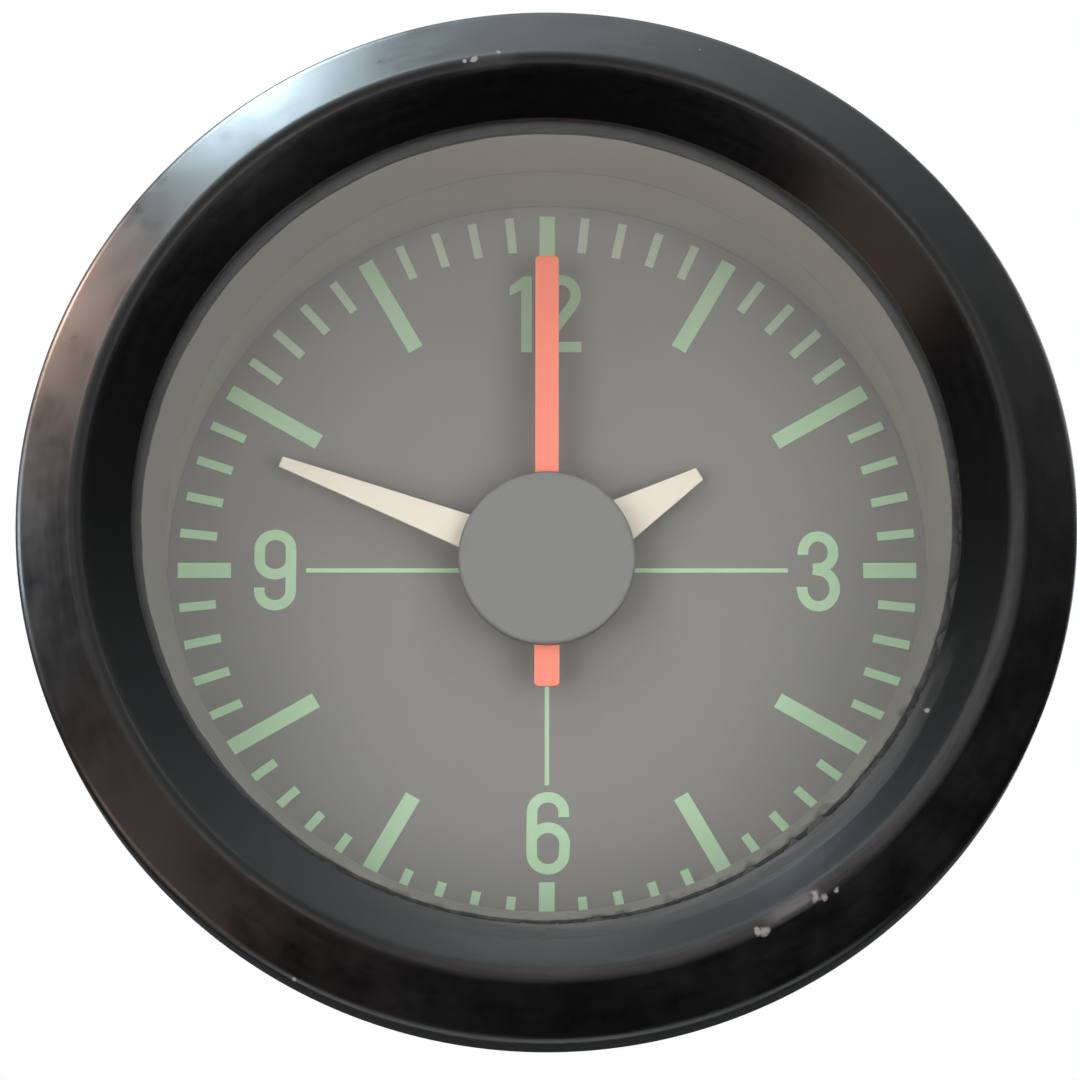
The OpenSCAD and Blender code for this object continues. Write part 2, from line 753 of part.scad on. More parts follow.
module rear_plate() {
    color("#c9a24a") facing() difference() {
        rod(rear_plate_r, rear_back, rear_front);
        rod(second_arbor_r + run_gap, rear_back - cut, rear_front + cut);
        for (at = [third_at, intermediate_at, rotor_at])
            place(at, 0) rod(pivot_r + run_gap, rear_back - cut, rear_front + cut);
        place(motion_at, 0) rod(motion_arbor_r + run_gap, rear_back - cut, rear_front + cut);
        at_pillars() rod(case_screw_r + screw_gap, rear_back - cut, rear_front + cut);
        place(lamp_at, 0) rod(holder_r, rear_back - cut, rear_front + cut);
        for (a = rear_hole_angles) rotate(a) translate([rear_plate_r - rear_hole_in, 0, 0])
            rod(rear_hole_r, rear_back - cut, rear_front + cut);
    }
}

module pillars() {
    color("#c9a24a") facing() at_pillars() tube(pillar_r, case_screw_r + screw_gap, rear_front, plate_back);
}

module board_spacers() {
    color("#b8b5aa") facing() at_pillars() tube(pillar_r, case_screw_r + screw_gap, board_front, rear_back);
}

module rear_spacers() {
    color("#b8b5aa") facing() at_pillars() tube(pillar_r, case_screw_r + screw_gap, wall_front, board_back);
}

module case_screws() {
    color("#9a9c9e") facing() at_pillars() difference() {
        union() {
            rod(case_screw_r, wall_back - screw_head_t / 2, plate_back + screw_bite);
            rod(2 * case_screw_r, wall_back - screw_head_t, wall_back);
        }
        block([-2 * case_screw_r - fuse, -screw_slot_w / 2, wall_back - screw_head_t - cut],
            [2 * case_screw_r + fuse, screw_slot_w / 2, wall_back - screw_head_t / 2]);
    }
}

// A tapered hand along y, with a boss for its tube
module tapered_hand(length, widths, bore, boss) {
    taper = (widths[0] - widths[1]) / (length - cap_r);
    root = cap_r - hand_root_l;
    root_half = (widths[1] + taper * (length - root)) / 2;
    centre_half = root_half * hand_centre_share;
    tip_half = widths[1] / 2;
    difference() {
        union() {
            linear_extrude(height = hand_t) polygon([[-centre_half, 0], [centre_half, 0],
                [root_half, root], [tip_half, length], [-tip_half, length], [-root_half, root]]);
            rod(boss, 0, hand_t);
        }
        rod(bore, -cut, hand_t + cut);
    }
}

module hour_hand() {
    color("#efe8dd") facing() rotate(-30 * shown_hour) place([0, 0], hour_hand_z)
        tapered_hand(hour_hand_l, hour_hand_w, hour_tube_r - hour_neck + press_gap,
            hour_tube_r + hand_boss_w);
}

module minute_hand() {
    color("#efe8dd") facing() rotate(-6 * shown_minute) place([0, 0], minute_hand_z)
        tapered_hand(minute_hand_l, minute_hand_w, minute_tube_r - minute_neck + press_gap,
            minute_tube_r + hand_boss_w);
}

module second_hand() {
    color("#ff7a66") facing() place([0, 0], second_hand_z) difference() {
        union() {
            linear_extrude(height = hand_t) {
                polygon(rounded_bar([-second_hand_w / 2, 0], [second_hand_w / 2, second_hand_l],
                    second_round));
                polygon(rounded_bar([-second_tail_w / 2, -second_tail_l], [second_tail_w / 2, 0],
                    second_round));
            }
            rod(second_hand_w / 2 + hand_boss_w, 0, hand_t);
        }
        rod(second_arbor_r + press_gap, -cut, hand_t + cut);
    }
}

// Cap: a round disc pressed on the second arbor, over the roots of the hands
module hand_cap() {
    color("#85867f") facing() place([0, 0], cap_z) difference() {
        rotate_extrude() polygon(concat([[0, 0], [cap_r, 0]],
            arc([cap_r - cap_round, cap_t - cap_round], cap_round, 0, 90, 4), [[0, cap_t]]));
        rod(second_arbor_r + press_gap, -cut, cap_t / 2);
    }
}

// Second arbor: from the rear plate through both tubes to the second hand
module second_arbor() {
    m = pair_module(train_centre, second_pinion_n, third_n);
    color("#b9bcc0") facing() {
        rod(second_arbor_r, rear_back + end_play, cap_z + cap_t / 2 - press_gap);
        place([0, 0], third_z - pinion_over) rotate(third_dir)
            gear(second_pinion_n, m, wheel_t + 2 * pinion_over, second_arbor_r - fuse);
    }
}

module second_wheel() {
    m = pair_module(train_centre, intermediate_pinion_n, second_n);
    color("#c9a24a") facing() place([0, 0], second_z) rotate(wheel_turn(intermediate_dir, second_n))
        wheel(second_n, m, second_arbor_r + press_gap);
}

// An arbor with a pivot at each end, in its place between the plates
module arbor() {
    rod(arbor_r, rear_front + end_play, plate_back - end_play);
    rod(pivot_r, rear_back + end_play, plate_back + pivot_l);
}

module third_wheel() {
    m = pair_module(train_centre, second_pinion_n, third_n);
    pm = pair_module(train_centre, third_pinion_n, centre_n);
    color("#c9a24a") facing() place(third_at, 0) {
        arbor();
        place([0, 0], third_z) rotate(wheel_turn(third_dir + 180, third_n))
            wheel(third_n, m, arbor_r - fuse);
        place([0, 0], centre_z - pinion_over) rotate(third_dir + 180)
            gear(third_pinion_n, pm, wheel_t + 2 * pinion_over, arbor_r - fuse);
    }
}

// Centre wheel: grips the cannon pinion's tube, and slips on it when the hands are set
module centre_wheel() {
    m = pair_module(train_centre, third_pinion_n, centre_n);
    color("#c9a24a") facing() place([0, 0], centre_z) rotate(wheel_turn(third_dir, centre_n))
        wheel(centre_n, m, minute_tube_r + press_gap);
}

// Cannon pinion: the minute tube with the pinion that drives the motion work
module cannon_pinion() {
    m = pair_module(motion_centre, cannon_n, motion_n);
    bore = second_arbor_r + run_gap;
    foot = centre_z - pinion_over;
    color("#c9a24a") facing() {
        tube(minute_tube_r, bore, foot, minute_hand_z);
        tube(minute_tube_r - minute_neck, bore, minute_hand_z, minute_hand_z + hand_t);
        tube(minute_tube_r + level_room, minute_tube_r - fuse, foot, centre_z);
        place([0, 0], motion_z - pinion_over / 2) rotate(motion_dir)
            gear(cannon_n, m, wheel_t + pinion_over, minute_tube_r - fuse);
    }
}

module motion_wheel() {
    m = pair_module(motion_centre, cannon_n, motion_n);
    color("#c9a24a") facing() place(motion_at, motion_z) rotate(wheel_turn(motion_dir + 180, motion_n))
        wheel(motion_n, m, motion_arbor_r + press_gap);
}

// Motion arbor: a pinion in front, and behind the rear plate the cup of the setting clutch
module motion_arbor() {
    m = pair_module(motion_centre, motion_pinion_n, hour_n);
    top = motion_z + wheel_t;
    color("#b9bcc0") facing() place(motion_at, 0) {
        rod(motion_arbor_r, cup_z, top);
        place([0, 0], top) rotate(-motion_dir)
            gear(motion_pinion_n, m, hour_z + wheel_t + pinion_over - top, fuse);
        rod(motion_arbor_r / 2, top - fuse, hour_z + wheel_t + pinion_over);
        rod(clutch_r, cup_z - cup_floor_t, cup_z);
        for (a = [45:90:315]) rotate(a) dog(cup_z - cup_floor_t - dog_l, cup_z - cup_floor_t / 2);
    }
}

// One dog of the clutch cup, pointing to the right
module dog(from, to) {
    spread = clutch_r * 2 * tan(dog_half_angle);
    intersection() {
        tube(clutch_r, dog_inner_r, from, to);
        translate([0, 0, from]) linear_extrude(height = to - from)
            polygon([[0, 0], [2 * clutch_r, -spread], [2 * clutch_r, spread]]);
    }
}

// Hour wheel: turns on the minute tube and carries the hour hand
module hour_wheel() {
    m = pair_module(motion_centre, motion_pinion_n, hour_n);
    bore = minute_tube_r + run_gap;
    color("#c9a24a") facing() {
        tube(hour_tube_r, bore, hour_z, hour_hand_z);
        tube(hour_tube_r - hour_neck, bore, hour_hand_z, hour_hand_z + hand_t);
        place([0, 0], hour_z) rotate(wheel_turn(motion_dir, hour_n)) wheel(hour_n, m, hour_tube_r - fuse);
    }
}

module intermediate_wheel() {
    m = pair_module(rotor_centre, rotor_pinion_n, intermediate_n);
    pm = pair_module(train_centre, intermediate_pinion_n, second_n);
    color("#e8e4d8") facing() place(intermediate_at, 0) {
        arbor();
        place([0, 0], intermediate_z) rotate(wheel_turn(rotor_dir, intermediate_n))
            wheel(intermediate_n, m, arbor_r - fuse);
        place([0, 0], second_z - pinion_over) rotate(intermediate_dir + 180)
            gear(intermediate_pinion_n, pm, wheel_t + 2 * pinion_over, arbor_r - fuse);
    }
}

module rotor_arbor() {
    m = pair_module(rotor_centre, rotor_pinion_n, intermediate_n);
    color("#e8e4d8") facing() place(rotor_at, 0) {
        arbor();
        place([0, 0], intermediate_z - pinion_over) rotate(rotor_dir + 180)
            gear(rotor_pinion_n, m, wheel_t + 2 * pinion_over, arbor_r - fuse);
    }
}

module rotor_magnet() {
    mid = stator_z + stator_t / 2;
    color("#4a4a4c") facing() place(rotor_at, 0)
        tube(magnet_r, arbor_r + press_gap, mid - magnet_l / 2, mid + magnet_l / 2);
}

// Stator: a sheet round the rotor with a leg to each end of the coil core
module stator() {
    leg = stator_leg_w / 2;
    half = coil_half + leg;
    bore = magnet_r + air_gap;
    top = stator_z + stator_t;
    color("#8d9094") facing() at_motor() difference() {
        union() {
            block([-bore - stator_web, -half, stator_z], [bore + stator_web, half, top]);
            for (s = [-1, 1]) translate([0, s * coil_half, 0])
                block([0, -leg, stator_z], [coil_offset + leg, leg, top]);
        }
        rod(bore, stator_z - cut, top + cut);
        for (a = [notch_dir, notch_dir + 180]) rotate(a) translate([bore, 0, 0])
            rod(notch_r, stator_z - cut, top + cut);
        for (s = [-1, 1]) translate([coil_offset, s * coil_half, 0])
            rod(motor_screw_r + screw_gap, stator_z - cut, top + cut);
    }
}

// Coil core: a narrow strip with a square tab at each end
module coil_core() {
    leg = stator_leg_w / 2;
    low = stator_z - stator_t;
    color("#8d9094") facing() at_motor() translate([coil_offset, 0, 0]) difference() {
        union() {
            block([-core_w / 2, -coil_half, low], [core_w / 2, coil_half, stator_z]);
            for (s = [-1, 1]) translate([0, s * coil_half, 0]) block([-leg, -leg, low], [leg, leg, stator_z]);
        }
        for (s = [-1, 1]) translate([0, s * coil_half, 0])
            rod(motor_screw_r + screw_gap, low - cut, stator_z + cut);
    }
}

// Puts what is drawn along z on the coil's axis
module at_coil() {
    at_motor() translate([coil_offset, 0, coil_z]) rotate([-90, 0, 0]) children();
}

module coil_bobbin() {
    slot = [core_w / 2 + press_gap, bobbin_half + cut, stator_t / 2 + press_gap];
    color("#e8e4d8") facing() difference() {
        at_coil() {
            rod(bobbin_r, -bobbin_half, bobbin_half);
            rod(bobbin_cheek_r, -bobbin_half, -bobbin_half + bobbin_cheek_t);
            rod(bobbin_cheek_r, bobbin_half - bobbin_cheek_t, bobbin_half);
        }
        at_motor() translate([coil_offset, 0, coil_z]) block(-slot, slot);
    }
}

module coil_winding() {
    half = bobbin_half - bobbin_cheek_t;
    color("#a8562c") facing() at_coil() tube(coil_r, bobbin_r + press_gap, -half, half);
}

module motor_screws() {
    head = stator_z - stator_t;
    color("#9a9c9e") facing() at_motor_screws() {
        rod(motor_screw_r, head - motor_head_t / 2, stator_z + stator_t + motor_bite);
        rod(boss_r, head - motor_head_t, head);
    }
}

module circuit_board() {
    color("#3f6a45") facing() difference() {
        rod(board_r, board_back, board_front);
        at_pillars() rod(case_screw_r + screw_gap, board_back - cut, board_front + cut);
        place(motion_at, 0) rod(key_r + key_clear, board_back - cut, board_front + cut);
        place(lamp_at, 0) rod(holder_r + holder_room, board_back - cut, board_front + cut);
        for (s = [-1, 1]) translate([s * (board_r + scallop_r - scallop_d), 0, 0])
            rod(scallop_r, board_back - cut, board_front + cut);
    }
}

// Quartz crystal: a small metal can lying on the board on its rim
module quartz_crystal() {
    rim_r = crystal_size[0] + crystal_rim[0];
    color("#b9bcc0") facing() place(crystal_at, board_back - rim_r) rotate([0, 90, 0]) {
        rod(crystal_size[0], 0, crystal_size[1]);
        rod(rim_r, 0, crystal_rim[1]);
    }
}

// Driver chip: a moulded block on two rows of legs
module driver_chip() {
    half = chip_size / 2;
    top = board_back - chip_lift;
    color("#222326") facing() place(chip_at, 0) {
        block([-half[0], -half[1], top - chip_size[2]], [half[0], half[1], top]);
        for (i = [-1.5:1.5]) for (s = [-1, 1]) translate([chip_pitch * i, s * (half[1] + chip_leg[1] / 2), 0])
            block([-chip_leg[0] / 2, -chip_leg[1] / 2, top - chip_size[2] / 2],
                [chip_leg[0] / 2, chip_leg[1] / 2, board_back]);
    }
}

module capacitor() {
    foot = board_back - capacitor_foot[1];
    color("#2b3f66") facing() place(capacitor_at, 0) {
        rod(capacitor_size[0], foot - capacitor_size[1], foot);
        rod(capacitor_foot[0], foot, board_back);
    }
}

// Knob: fluted for the fingers, blind in front of its end
module setting_knob() {
    color("#1d1e20") facing() place(motion_at, knob_z) difference() {
        rod(knob_r, 0, knob_l);
        for (i = [1:knob_flutes]) rotate(360 * i / knob_flutes) translate([knob_r + flute_out, 0, 0])
            rod(flute_r, -cut, knob_l - flute_end, $fn = 24);
        rod(stem_r + press_gap, knob_l - knob_bore_l, knob_l + cut);
        rod(dimple_r, -cut, dimple_d);
    }
}

// Stem: a cross key in front of a plain shaft
module setting_stem() {
    color("#b9bcc0") facing() place(motion_at, 0) {
        rod(stem_r, knob_z + knob_l - knob_bore_l + end_play, key_z - key_l);
        intersection() {
            rod(key_r, key_z - key_l, key_z);
            for (a = [0, 90]) rotate(a)
                block([-key_r - cut, -key_w / 2, key_z - key_l], [key_r + cut, key_w / 2, key_z]);
        }
    }
}

module stem_clip() {
    color("#9a9c9e") facing() place(motion_at, clip_z)
        tube(clip_size[0], stem_r + press_gap, 0, clip_size[1]);
}

module spring_washer() {
    color("#9a9c9e") facing() place(motion_at, 0)
        tube(spring_washer_r, stem_r + run_gap, spring_washer_z, spring_washer_z + spring_washer_t);
}

// Bush: guides the stem through the rear wall
module stem_bush() {
    bore = stem_r + run_gap;
    color("#c9a24a") facing() place(motion_at, 0) {
        tube(bush_r, bore, wall_back, wall_front);
        tube(bush_flange[0], bore, wall_front, wall_front + bush_flange[1]);
    }
}

// Return spring: a wire wound round the stem, between the board and the washer
module return_spring() {
    last = spring_turns * spring_rings;
    rise = (spring_high - spring_low) / last;
    points = [for (i = [0:last]) for (j = [0:spring_sides - 1])
        let (a = 360 * i / spring_rings, b = 360 * j / spring_sides, r = spring_r + spring_wire_r * cos(b))
        [r * cos(a), r * sin(a), spring_low + rise * i + spring_wire_r * sin(b)]];
    sides = [for (i = [0:last - 1]) for (j = [0:spring_sides - 1])
        let (k = (j + 1) % spring_sides, p = i * spring_sides, q = p + spring_sides)
        each [[p + j, p + k, q + k], [p + j, q + k, q + j]]];
    start = [for (j = [1:spring_sides - 2]) [0, j + 1, j]];
    end = [for (j = [1:spring_sides - 2]) [0, j, j + 1] + last * spring_sides * [1, 1, 1]];
    color("#b9bcc0") facing() place(motion_at, 0) polyhedron(points, concat(sides, start, end));
}

// Lamp holder: a plug pushed in from the rear, with a flat grip for the fingers
module lamp_holder() {
    rear = wall_back - holder_flange[1];
    color("#1d1e20") facing() place(lamp_at, 0) difference() {
        union() {
            rod(holder_r, wall_back, holder_front);
            rod(holder_flange[0], rear, wall_back);
            rod(holder_neck[0], rear - holder_neck[1], rear);
            block([-holder_neck[0], -holder_grip[1] / 2, rear - holder_grip[0]],
                [holder_neck[0], holder_grip[1] / 2, rear]);
        }
        rod(pinch_r + run_gap, holder_front - pinch_l - end_play, holder_front + cut);
    }
}

// Bulb: a capless lamp, its pinch held in the holder
module lamp_bulb() {
    top = holder_front + bulb_l - bulb_r;
    color("#e9eef0", 0.5) facing() place(lamp_at, 0) {
        rod(pinch_r, holder_front - pinch_l, holder_front);
        rotate_extrude() polygon(concat(
            [[0, holder_front], [pinch_r, holder_front], [bulb_r, holder_front + bulb_foot_h]],
            arc([0, top], bulb_r, 0, 90, 8)));
    }
}

// The terminal block's neck through the rear wall
module block_neck(from, to, gap) {
    x = neck_half[0] + gap;
    y = neck_half[1] + gap;
    block([-x, -y, from], [x, y, to]);
}

module terminal_block() {
    rear = wall_back - block_t;
    slot = [blade_t / 2 + press_gap, blade_w / 2 + press_gap];
    color("#4b2f22") facing() place(terminal_at, 0) difference() {
        union() {
            block_neck(wall_back, wall_front + neck_in, 0);
            block([-block_half[0], -block_half[1], rear], [block_half[0], block_half[1], wall_back]);
        }
        for (s = [-1, 1]) translate([s * blade_half, 0, 0])
            block([-slot[0], -slot[1], rear - cut], [slot[0], slot[1], wall_front + neck_in + cut]);
    }
}

// Blades: flat push-on terminals from the board through the block
module terminal_blades() {
    tip = wall_back - block_t - blade_l;
    y = blade_w / 2;
    color("#c8b070") facing() place(terminal_at, 0) for (s = [-1, 1])
        translate([s * blade_half - blade_t / 2, 0, 0]) difference() {
            rotate([90, 0, 90]) linear_extrude(height = blade_t) polygon([
                [-y, board_back], [y, board_back], [y, tip + blade_chamfer], [y - blade_chamfer, tip],
                [-y + blade_chamfer, tip], [-y, tip + blade_chamfer]]);
            translate([0, 0, tip + blade_hole[1]]) rotate([0, 90, 0]) rod(blade_hole[0], -cut, blade_t + cut);
        }
}

// The two stud places on the rear wall
module at_studs() {
    for (s = [-1, 1]) translate([s * stud_spacing / 2, 0, 0]) children();
}

// Studs: a head inside, a thick root that the nut clamps, and a thinner end for the bracket
module mounting_studs() {
    root_end = wall_back - washer_t - nut_l - drop_gap;
    color("#9a9c9e") facing() at_studs() {
        rod(stud_head[0], wall_front, wall_front + stud_head[1]);
        rod(stud_root_r, root_end, wall_front);
        rod(stud_r, wall_back - stud_l, root_end);
    }
}

module stud_washers() {
    color("#b9bcc0") facing() at_studs()
        tube(nut_r, stud_root_r + screw_gap, wall_back - washer_t, wall_back);
}

// Nuts: knurled on all but a plain band beside the washer
module stud_nuts() {
    top = wall_back - washer_t;
    low = top - nut_l;
    color("#b9bcc0") facing() at_studs() difference() {
        tube(nut_r, stud_root_r + press_gap, low, top);
        for (i = [1:nut_flutes]) rotate(360 * i / nut_flutes) translate([nut_r + nut_flute_out, 0, 0])
            rod(nut_flute_r, low - cut, top - nut_band_l, $fn = 24);
    }
}

bezel();
lens();
lens_seal();
reflector_ring();
dial();
dial_print();
housing();
front_plate();
rear_plate();
pillars();
board_spacers();
rear_spacers();
case_screws();
hour_hand();
minute_hand();
second_hand();
hand_cap();
second_arbor();
second_wheel();
third_wheel();
centre_wheel();
cannon_pinion();
motion_wheel();
motion_arbor();
hour_wheel();
intermediate_wheel();
rotor_arbor();
rotor_magnet();
stator();
coil_core();
coil_bobbin();
coil_winding();
motor_screws();
circuit_board();
quartz_crystal();
driver_chip();
capacitor();
setting_knob();
setting_stem();
stem_clip();
spring_washer();
return_spring();
stem_bush();
lamp_holder();
lamp_bulb();
terminal_block();
terminal_blades();
mounting_studs();
stud_washers();
stud_nuts();
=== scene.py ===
"""Round motorcycle panel clock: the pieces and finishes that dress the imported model."""

import math

import bpy
from bpy.props import FloatProperty, FloatVectorProperty, PointerProperty
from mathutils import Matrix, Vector


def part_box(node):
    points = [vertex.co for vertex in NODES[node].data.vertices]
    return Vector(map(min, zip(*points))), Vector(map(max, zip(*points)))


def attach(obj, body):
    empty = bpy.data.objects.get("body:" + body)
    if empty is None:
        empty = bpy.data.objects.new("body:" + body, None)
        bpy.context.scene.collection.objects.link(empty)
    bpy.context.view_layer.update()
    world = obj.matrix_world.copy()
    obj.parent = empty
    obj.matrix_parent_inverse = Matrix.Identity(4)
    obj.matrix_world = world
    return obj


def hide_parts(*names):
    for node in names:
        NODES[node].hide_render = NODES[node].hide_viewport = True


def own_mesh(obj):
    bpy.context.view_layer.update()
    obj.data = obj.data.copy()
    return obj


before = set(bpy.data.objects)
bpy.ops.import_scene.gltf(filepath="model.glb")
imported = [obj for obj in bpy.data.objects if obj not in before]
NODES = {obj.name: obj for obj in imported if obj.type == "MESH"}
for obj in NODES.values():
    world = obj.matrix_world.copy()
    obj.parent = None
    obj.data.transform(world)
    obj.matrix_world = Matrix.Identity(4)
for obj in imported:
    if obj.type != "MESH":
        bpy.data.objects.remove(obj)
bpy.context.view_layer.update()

bl_info = {
    "name": "Motorcycle panel clock",
    "version": (1, 0, 0),
    "blender": (4, 5, 0),
    "location": "View3D > Sidebar > Clock",
    "description": "Builds a round motorcycle clock piece by piece round its packed frame",
    "category": "Object",
}

MM = 0.001
FULL_TURN = math.tau
# The clock's axis runs along Y. A height towards the rider is a step along -Y.
AXIS = (0, 1, 0)
# Distance in metres under which two corners are one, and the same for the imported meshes
SAME, PACKED_SAME = 1e-7, 1e-6
# Angle in degrees between faces that still lie in one plane
FLAT = 0.5
# Most sides that a wound section's end may have
END_SIDES = 12
# Height in millimetres at which the numbers are drawn below, between the centres of their strokes
NUMERAL_HEIGHT = 4.88


def linear(code):
    """A colour written as sRGB hex, as the linear values that Blender works in, and opaque."""
    levels = [int(code[i:i + 2], 16) / 255 for i in (1, 3, 5)]
    return tuple(c / 12.92 if c <= 0.04045 else ((c + 0.055) / 1.055) ** 2.4 for c in levels) + (1.0,)


# Sizes and colours that a user would change


class ClockSizes(bpy.types.PropertyGroup):
    """Sizes of the pieces that this file adds."""

    numeral_height: FloatProperty(
        name="Numeral height", description="Height of the dial's numbers between their strokes' centres",
        default=NUMERAL_HEIGHT * MM, unit="LENGTH")
    numeral_stroke: FloatProperty(
        name="Numeral stroke", description="Width of the strokes of the dial's numbers",
        default=0.72 * MM, unit="LENGTH")
    print_depth: FloatProperty(
        name="Print depth", description="Thickness of the printed numbers",
        default=0.05 * MM, unit="LENGTH")
    seal_wobble: FloatProperty(
        name="Seal unevenness", description="How far the seal's edge strays under the glass",
        default=0.07 * MM, unit="LENGTH")
    edge_break: FloatProperty(
        name="Edge break", description="Width of the small bevels that break sharp edges",
        default=0.1 * MM, unit="LENGTH")
    thread_pitch: FloatProperty(
        name="Thread pitch", description="Rise of the studs' thread in one turn",
        default=0.7 * MM, unit="LENGTH")
    thread_depth: FloatProperty(
        name="Thread depth", description="Depth of the studs' thread",
        default=0.36 * MM, unit="LENGTH")


def shade(colour):
    """A colour given as sRGB hex or as one of the panel's colours."""
    return linear(colour) if isinstance(colour, str) else tuple(colour)


def colour_property(label, use, code):
    """A colour that a user can change, with its default written as sRGB hex."""
    return FloatVectorProperty(name=label, description=use, subtype="COLOR", size=4, min=0, max=1,
                               default=linear(code))


class ClockColours(bpy.types.PropertyGroup):
    """Colours of the finishes that show most."""

    enamel: colour_property("Bezel enamel", "Black stove enamel of the bezel", "#060607")
    dial: colour_property("Dial lacquer", "Flat grey lacquer of the dial", "#8b8b88")
    ring: colour_property("Reflector ring", "Matt grey plastic of the ring round the dial", "#94928c")
    luminous: colour_property("Luminous print", "Pale green of the ticks and numbers", "#bbdcba")
    white_hand: colour_property("White hands", "Off-white lacquer of hour and minute hand", "#efe6d8")
    red_hand: colour_property("Red hand", "Salmon red lacquer of the second hand", "#ff947f")
    hub: colour_property("Hub cap", "Grey of the cap over the hands", "#80807e")


# Modelling helpers


def only(obj):
    """Selects one object and nothing else."""
    bpy.ops.object.select_all(action="DESELECT")
    obj.select_set(True)
    bpy.context.view_layer.objects.active = obj


def edit(obj):
    """Opens one mesh in edit mode with everything in it selected."""
    only(obj)
    bpy.ops.object.mode_set(mode="EDIT")
    bpy.ops.mesh.select_all(action="SELECT")


def apply_place():
    """Puts the place and turn of what is selected into its mesh."""
    bpy.ops.object.transform_apply(location=True, rotation=True, scale=True)


def settle():
    """Leaves edit mode and puts the object's place and turn into its mesh."""
    bpy.ops.object.mode_set(mode="OBJECT")
    apply_place()


def weld(distance=SAME):
    """Merges the corners of the mesh in edit mode that lie in one place."""
    bpy.ops.mesh.select_all(action="SELECT")
    bpy.ops.mesh.remove_doubles(threshold=distance)


def face_outwards():
    """Turns all faces of the mesh in edit mode outwards."""
    bpy.ops.mesh.select_all(action="SELECT")
    bpy.ops.mesh.normals_make_consistent(inside=False)


def smooth(angle):
    """Shades the selected mesh smooth across edges up to an angle in degrees."""
    bpy.ops.object.shade_smooth_by_angle(angle=math.radians(angle))


def arc(centre, radius, start, end, steps):
    """Points on a round of a section, from one direction in degrees to another."""
    out = []
    for i in range(steps + 1):
        a = math.radians(start + (end - start) * i / steps)
        out.append((centre[0] + radius * math.cos(a), centre[1] + radius * math.sin(a)))
    return out


def outlined(name, outline):
    """A line of edges through (radius, height) points in millimetres, closed unless it starts on the axis."""
    bpy.ops.object.select_all(action="DESELECT")
    r, h = outline[0]
    bpy.ops.mesh.primitive_plane_add(size=MM, location=(r * MM, -h * MM, 0))
    obj = bpy.context.object
    obj.name = obj.data.name = name
    edit(obj)
    bpy.ops.mesh.merge(type="CENTER")
    ends = outline[1:] + (outline[:1] if r > 0 else [])
    for (r0, h0), (r1, h1) in zip(outline, ends):
        bpy.ops.mesh.extrude_region_move(
            TRANSFORM_OT_translate={"value": ((r1 - r0) * MM, -(h1 - h0) * MM, 0)})
    weld()
    return obj


def turned(name, outline, steps):
    """A turned piece: an outline of (radius, height) in millimetres, spun round the clock's axis."""
    obj = outlined(name, outline)
    bpy.ops.mesh.spin(steps=steps, angle=FULL_TURN, use_auto_merge=True, center=(0, 0, 0), axis=AXIS)
    weld()
    face_outwards()
    settle()
    smooth(28)
    return obj


def modifier(obj, kind, **settings):
    """Adds a modifier with its settings and applies it."""
    only(obj)
    mod = obj.modifiers.new(kind.title(), kind)
    for key, value in settings.items():
        setattr(mod, key, value)
    bpy.ops.object.modifier_apply(modifier=mod.name)


def wound(obj, rise, turns, steps):
    """Winds a closed section round the clock's axis, towards the rider, and closes its two ends."""
    modifier(obj, "SCREW", axis="Y", angle=FULL_TURN, screw_offset=-rise, iterations=turns, steps=steps,
             render_steps=steps, use_merge_vertices=False)
    edit(obj)
    weld()
    bpy.ops.mesh.select_all(action="DESELECT")
    bpy.ops.mesh.select_non_manifold()
    bpy.ops.mesh.fill_holes(sides=END_SIDES)
    face_outwards()
    settle()


def finished(node, share, angle=35, merge=False):
    """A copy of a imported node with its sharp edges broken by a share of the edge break. Flat faces with holes
    are merged first where asked, because long thin triangles would fold over in the bevel."""
    obj = NODES[node].copy()
    obj.data = NODES[node].data.copy()
    bpy.context.scene.collection.objects.link(obj)
    for key in list(obj.keys()):
        del obj[key]
    obj.parent = None
    obj.name = obj.data.name = node + "_finished"
    edit(obj)
    weld(PACKED_SAME)
    bpy.ops.mesh.customdata_custom_splitnormals_clear()
    if merge:
        bpy.ops.mesh.dissolve_limited(angle_limit=math.radians(FLAT))
    bpy.ops.object.mode_set(mode="OBJECT")
    modifier(obj, "BEVEL", width=share * bpy.context.scene.clock_sizes.edge_break, segments=2,
             limit_method="ANGLE", angle_limit=math.radians(angle), miter_outer="MITER_ARC")
    smooth(angle)
    # large faces keep their own direction, so that flat walls shade flat up to the broken edges
    modifier(obj, "WEIGHTED_NORMAL", keep_sharp=True)
    obj.data.materials.clear()
    return obj


def seat(obj, body, slot, material, *replaced):
    """Gives a piece its body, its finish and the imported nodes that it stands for."""
    obj.data.materials.clear()
    obj.data.materials.append(material)
    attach(obj, body)
    if replaced:
        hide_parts(*replaced)


def dress(node, material):
    """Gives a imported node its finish."""
    NODES[node].data.materials.clear()
    NODES[node].data.materials.append(material)


# Finishes


def add(tree, kind, inputs=None, **settings):
    """Adds a shader node: settings are its own, and inputs are values or the sockets that feed them."""
    new = tree.nodes.new(kind)
    for key, value in settings.items():
        setattr(new, key, value)
    for key, value in (inputs or {}).items():
        if isinstance(value, bpy.types.NodeSocket):
            tree.links.new(value, new.inputs[key])
        else:
            new.inputs[key].default_value = value
    return new


def open_material(name):
    """An empty material with its output node and the object's own coordinates."""
    mat = bpy.data.materials.new(name)
    mat.use_nodes = True
    tree = mat.node_tree
    tree.nodes.clear()
    return mat, tree, add(tree, "ShaderNodeOutputMaterial"), add(tree, "ShaderNodeTexCoord").outputs["Object"]


def per_mm(size):
    """The scale at which a pattern repeats about every so many millimetres."""
    return 1 / (size * MM)


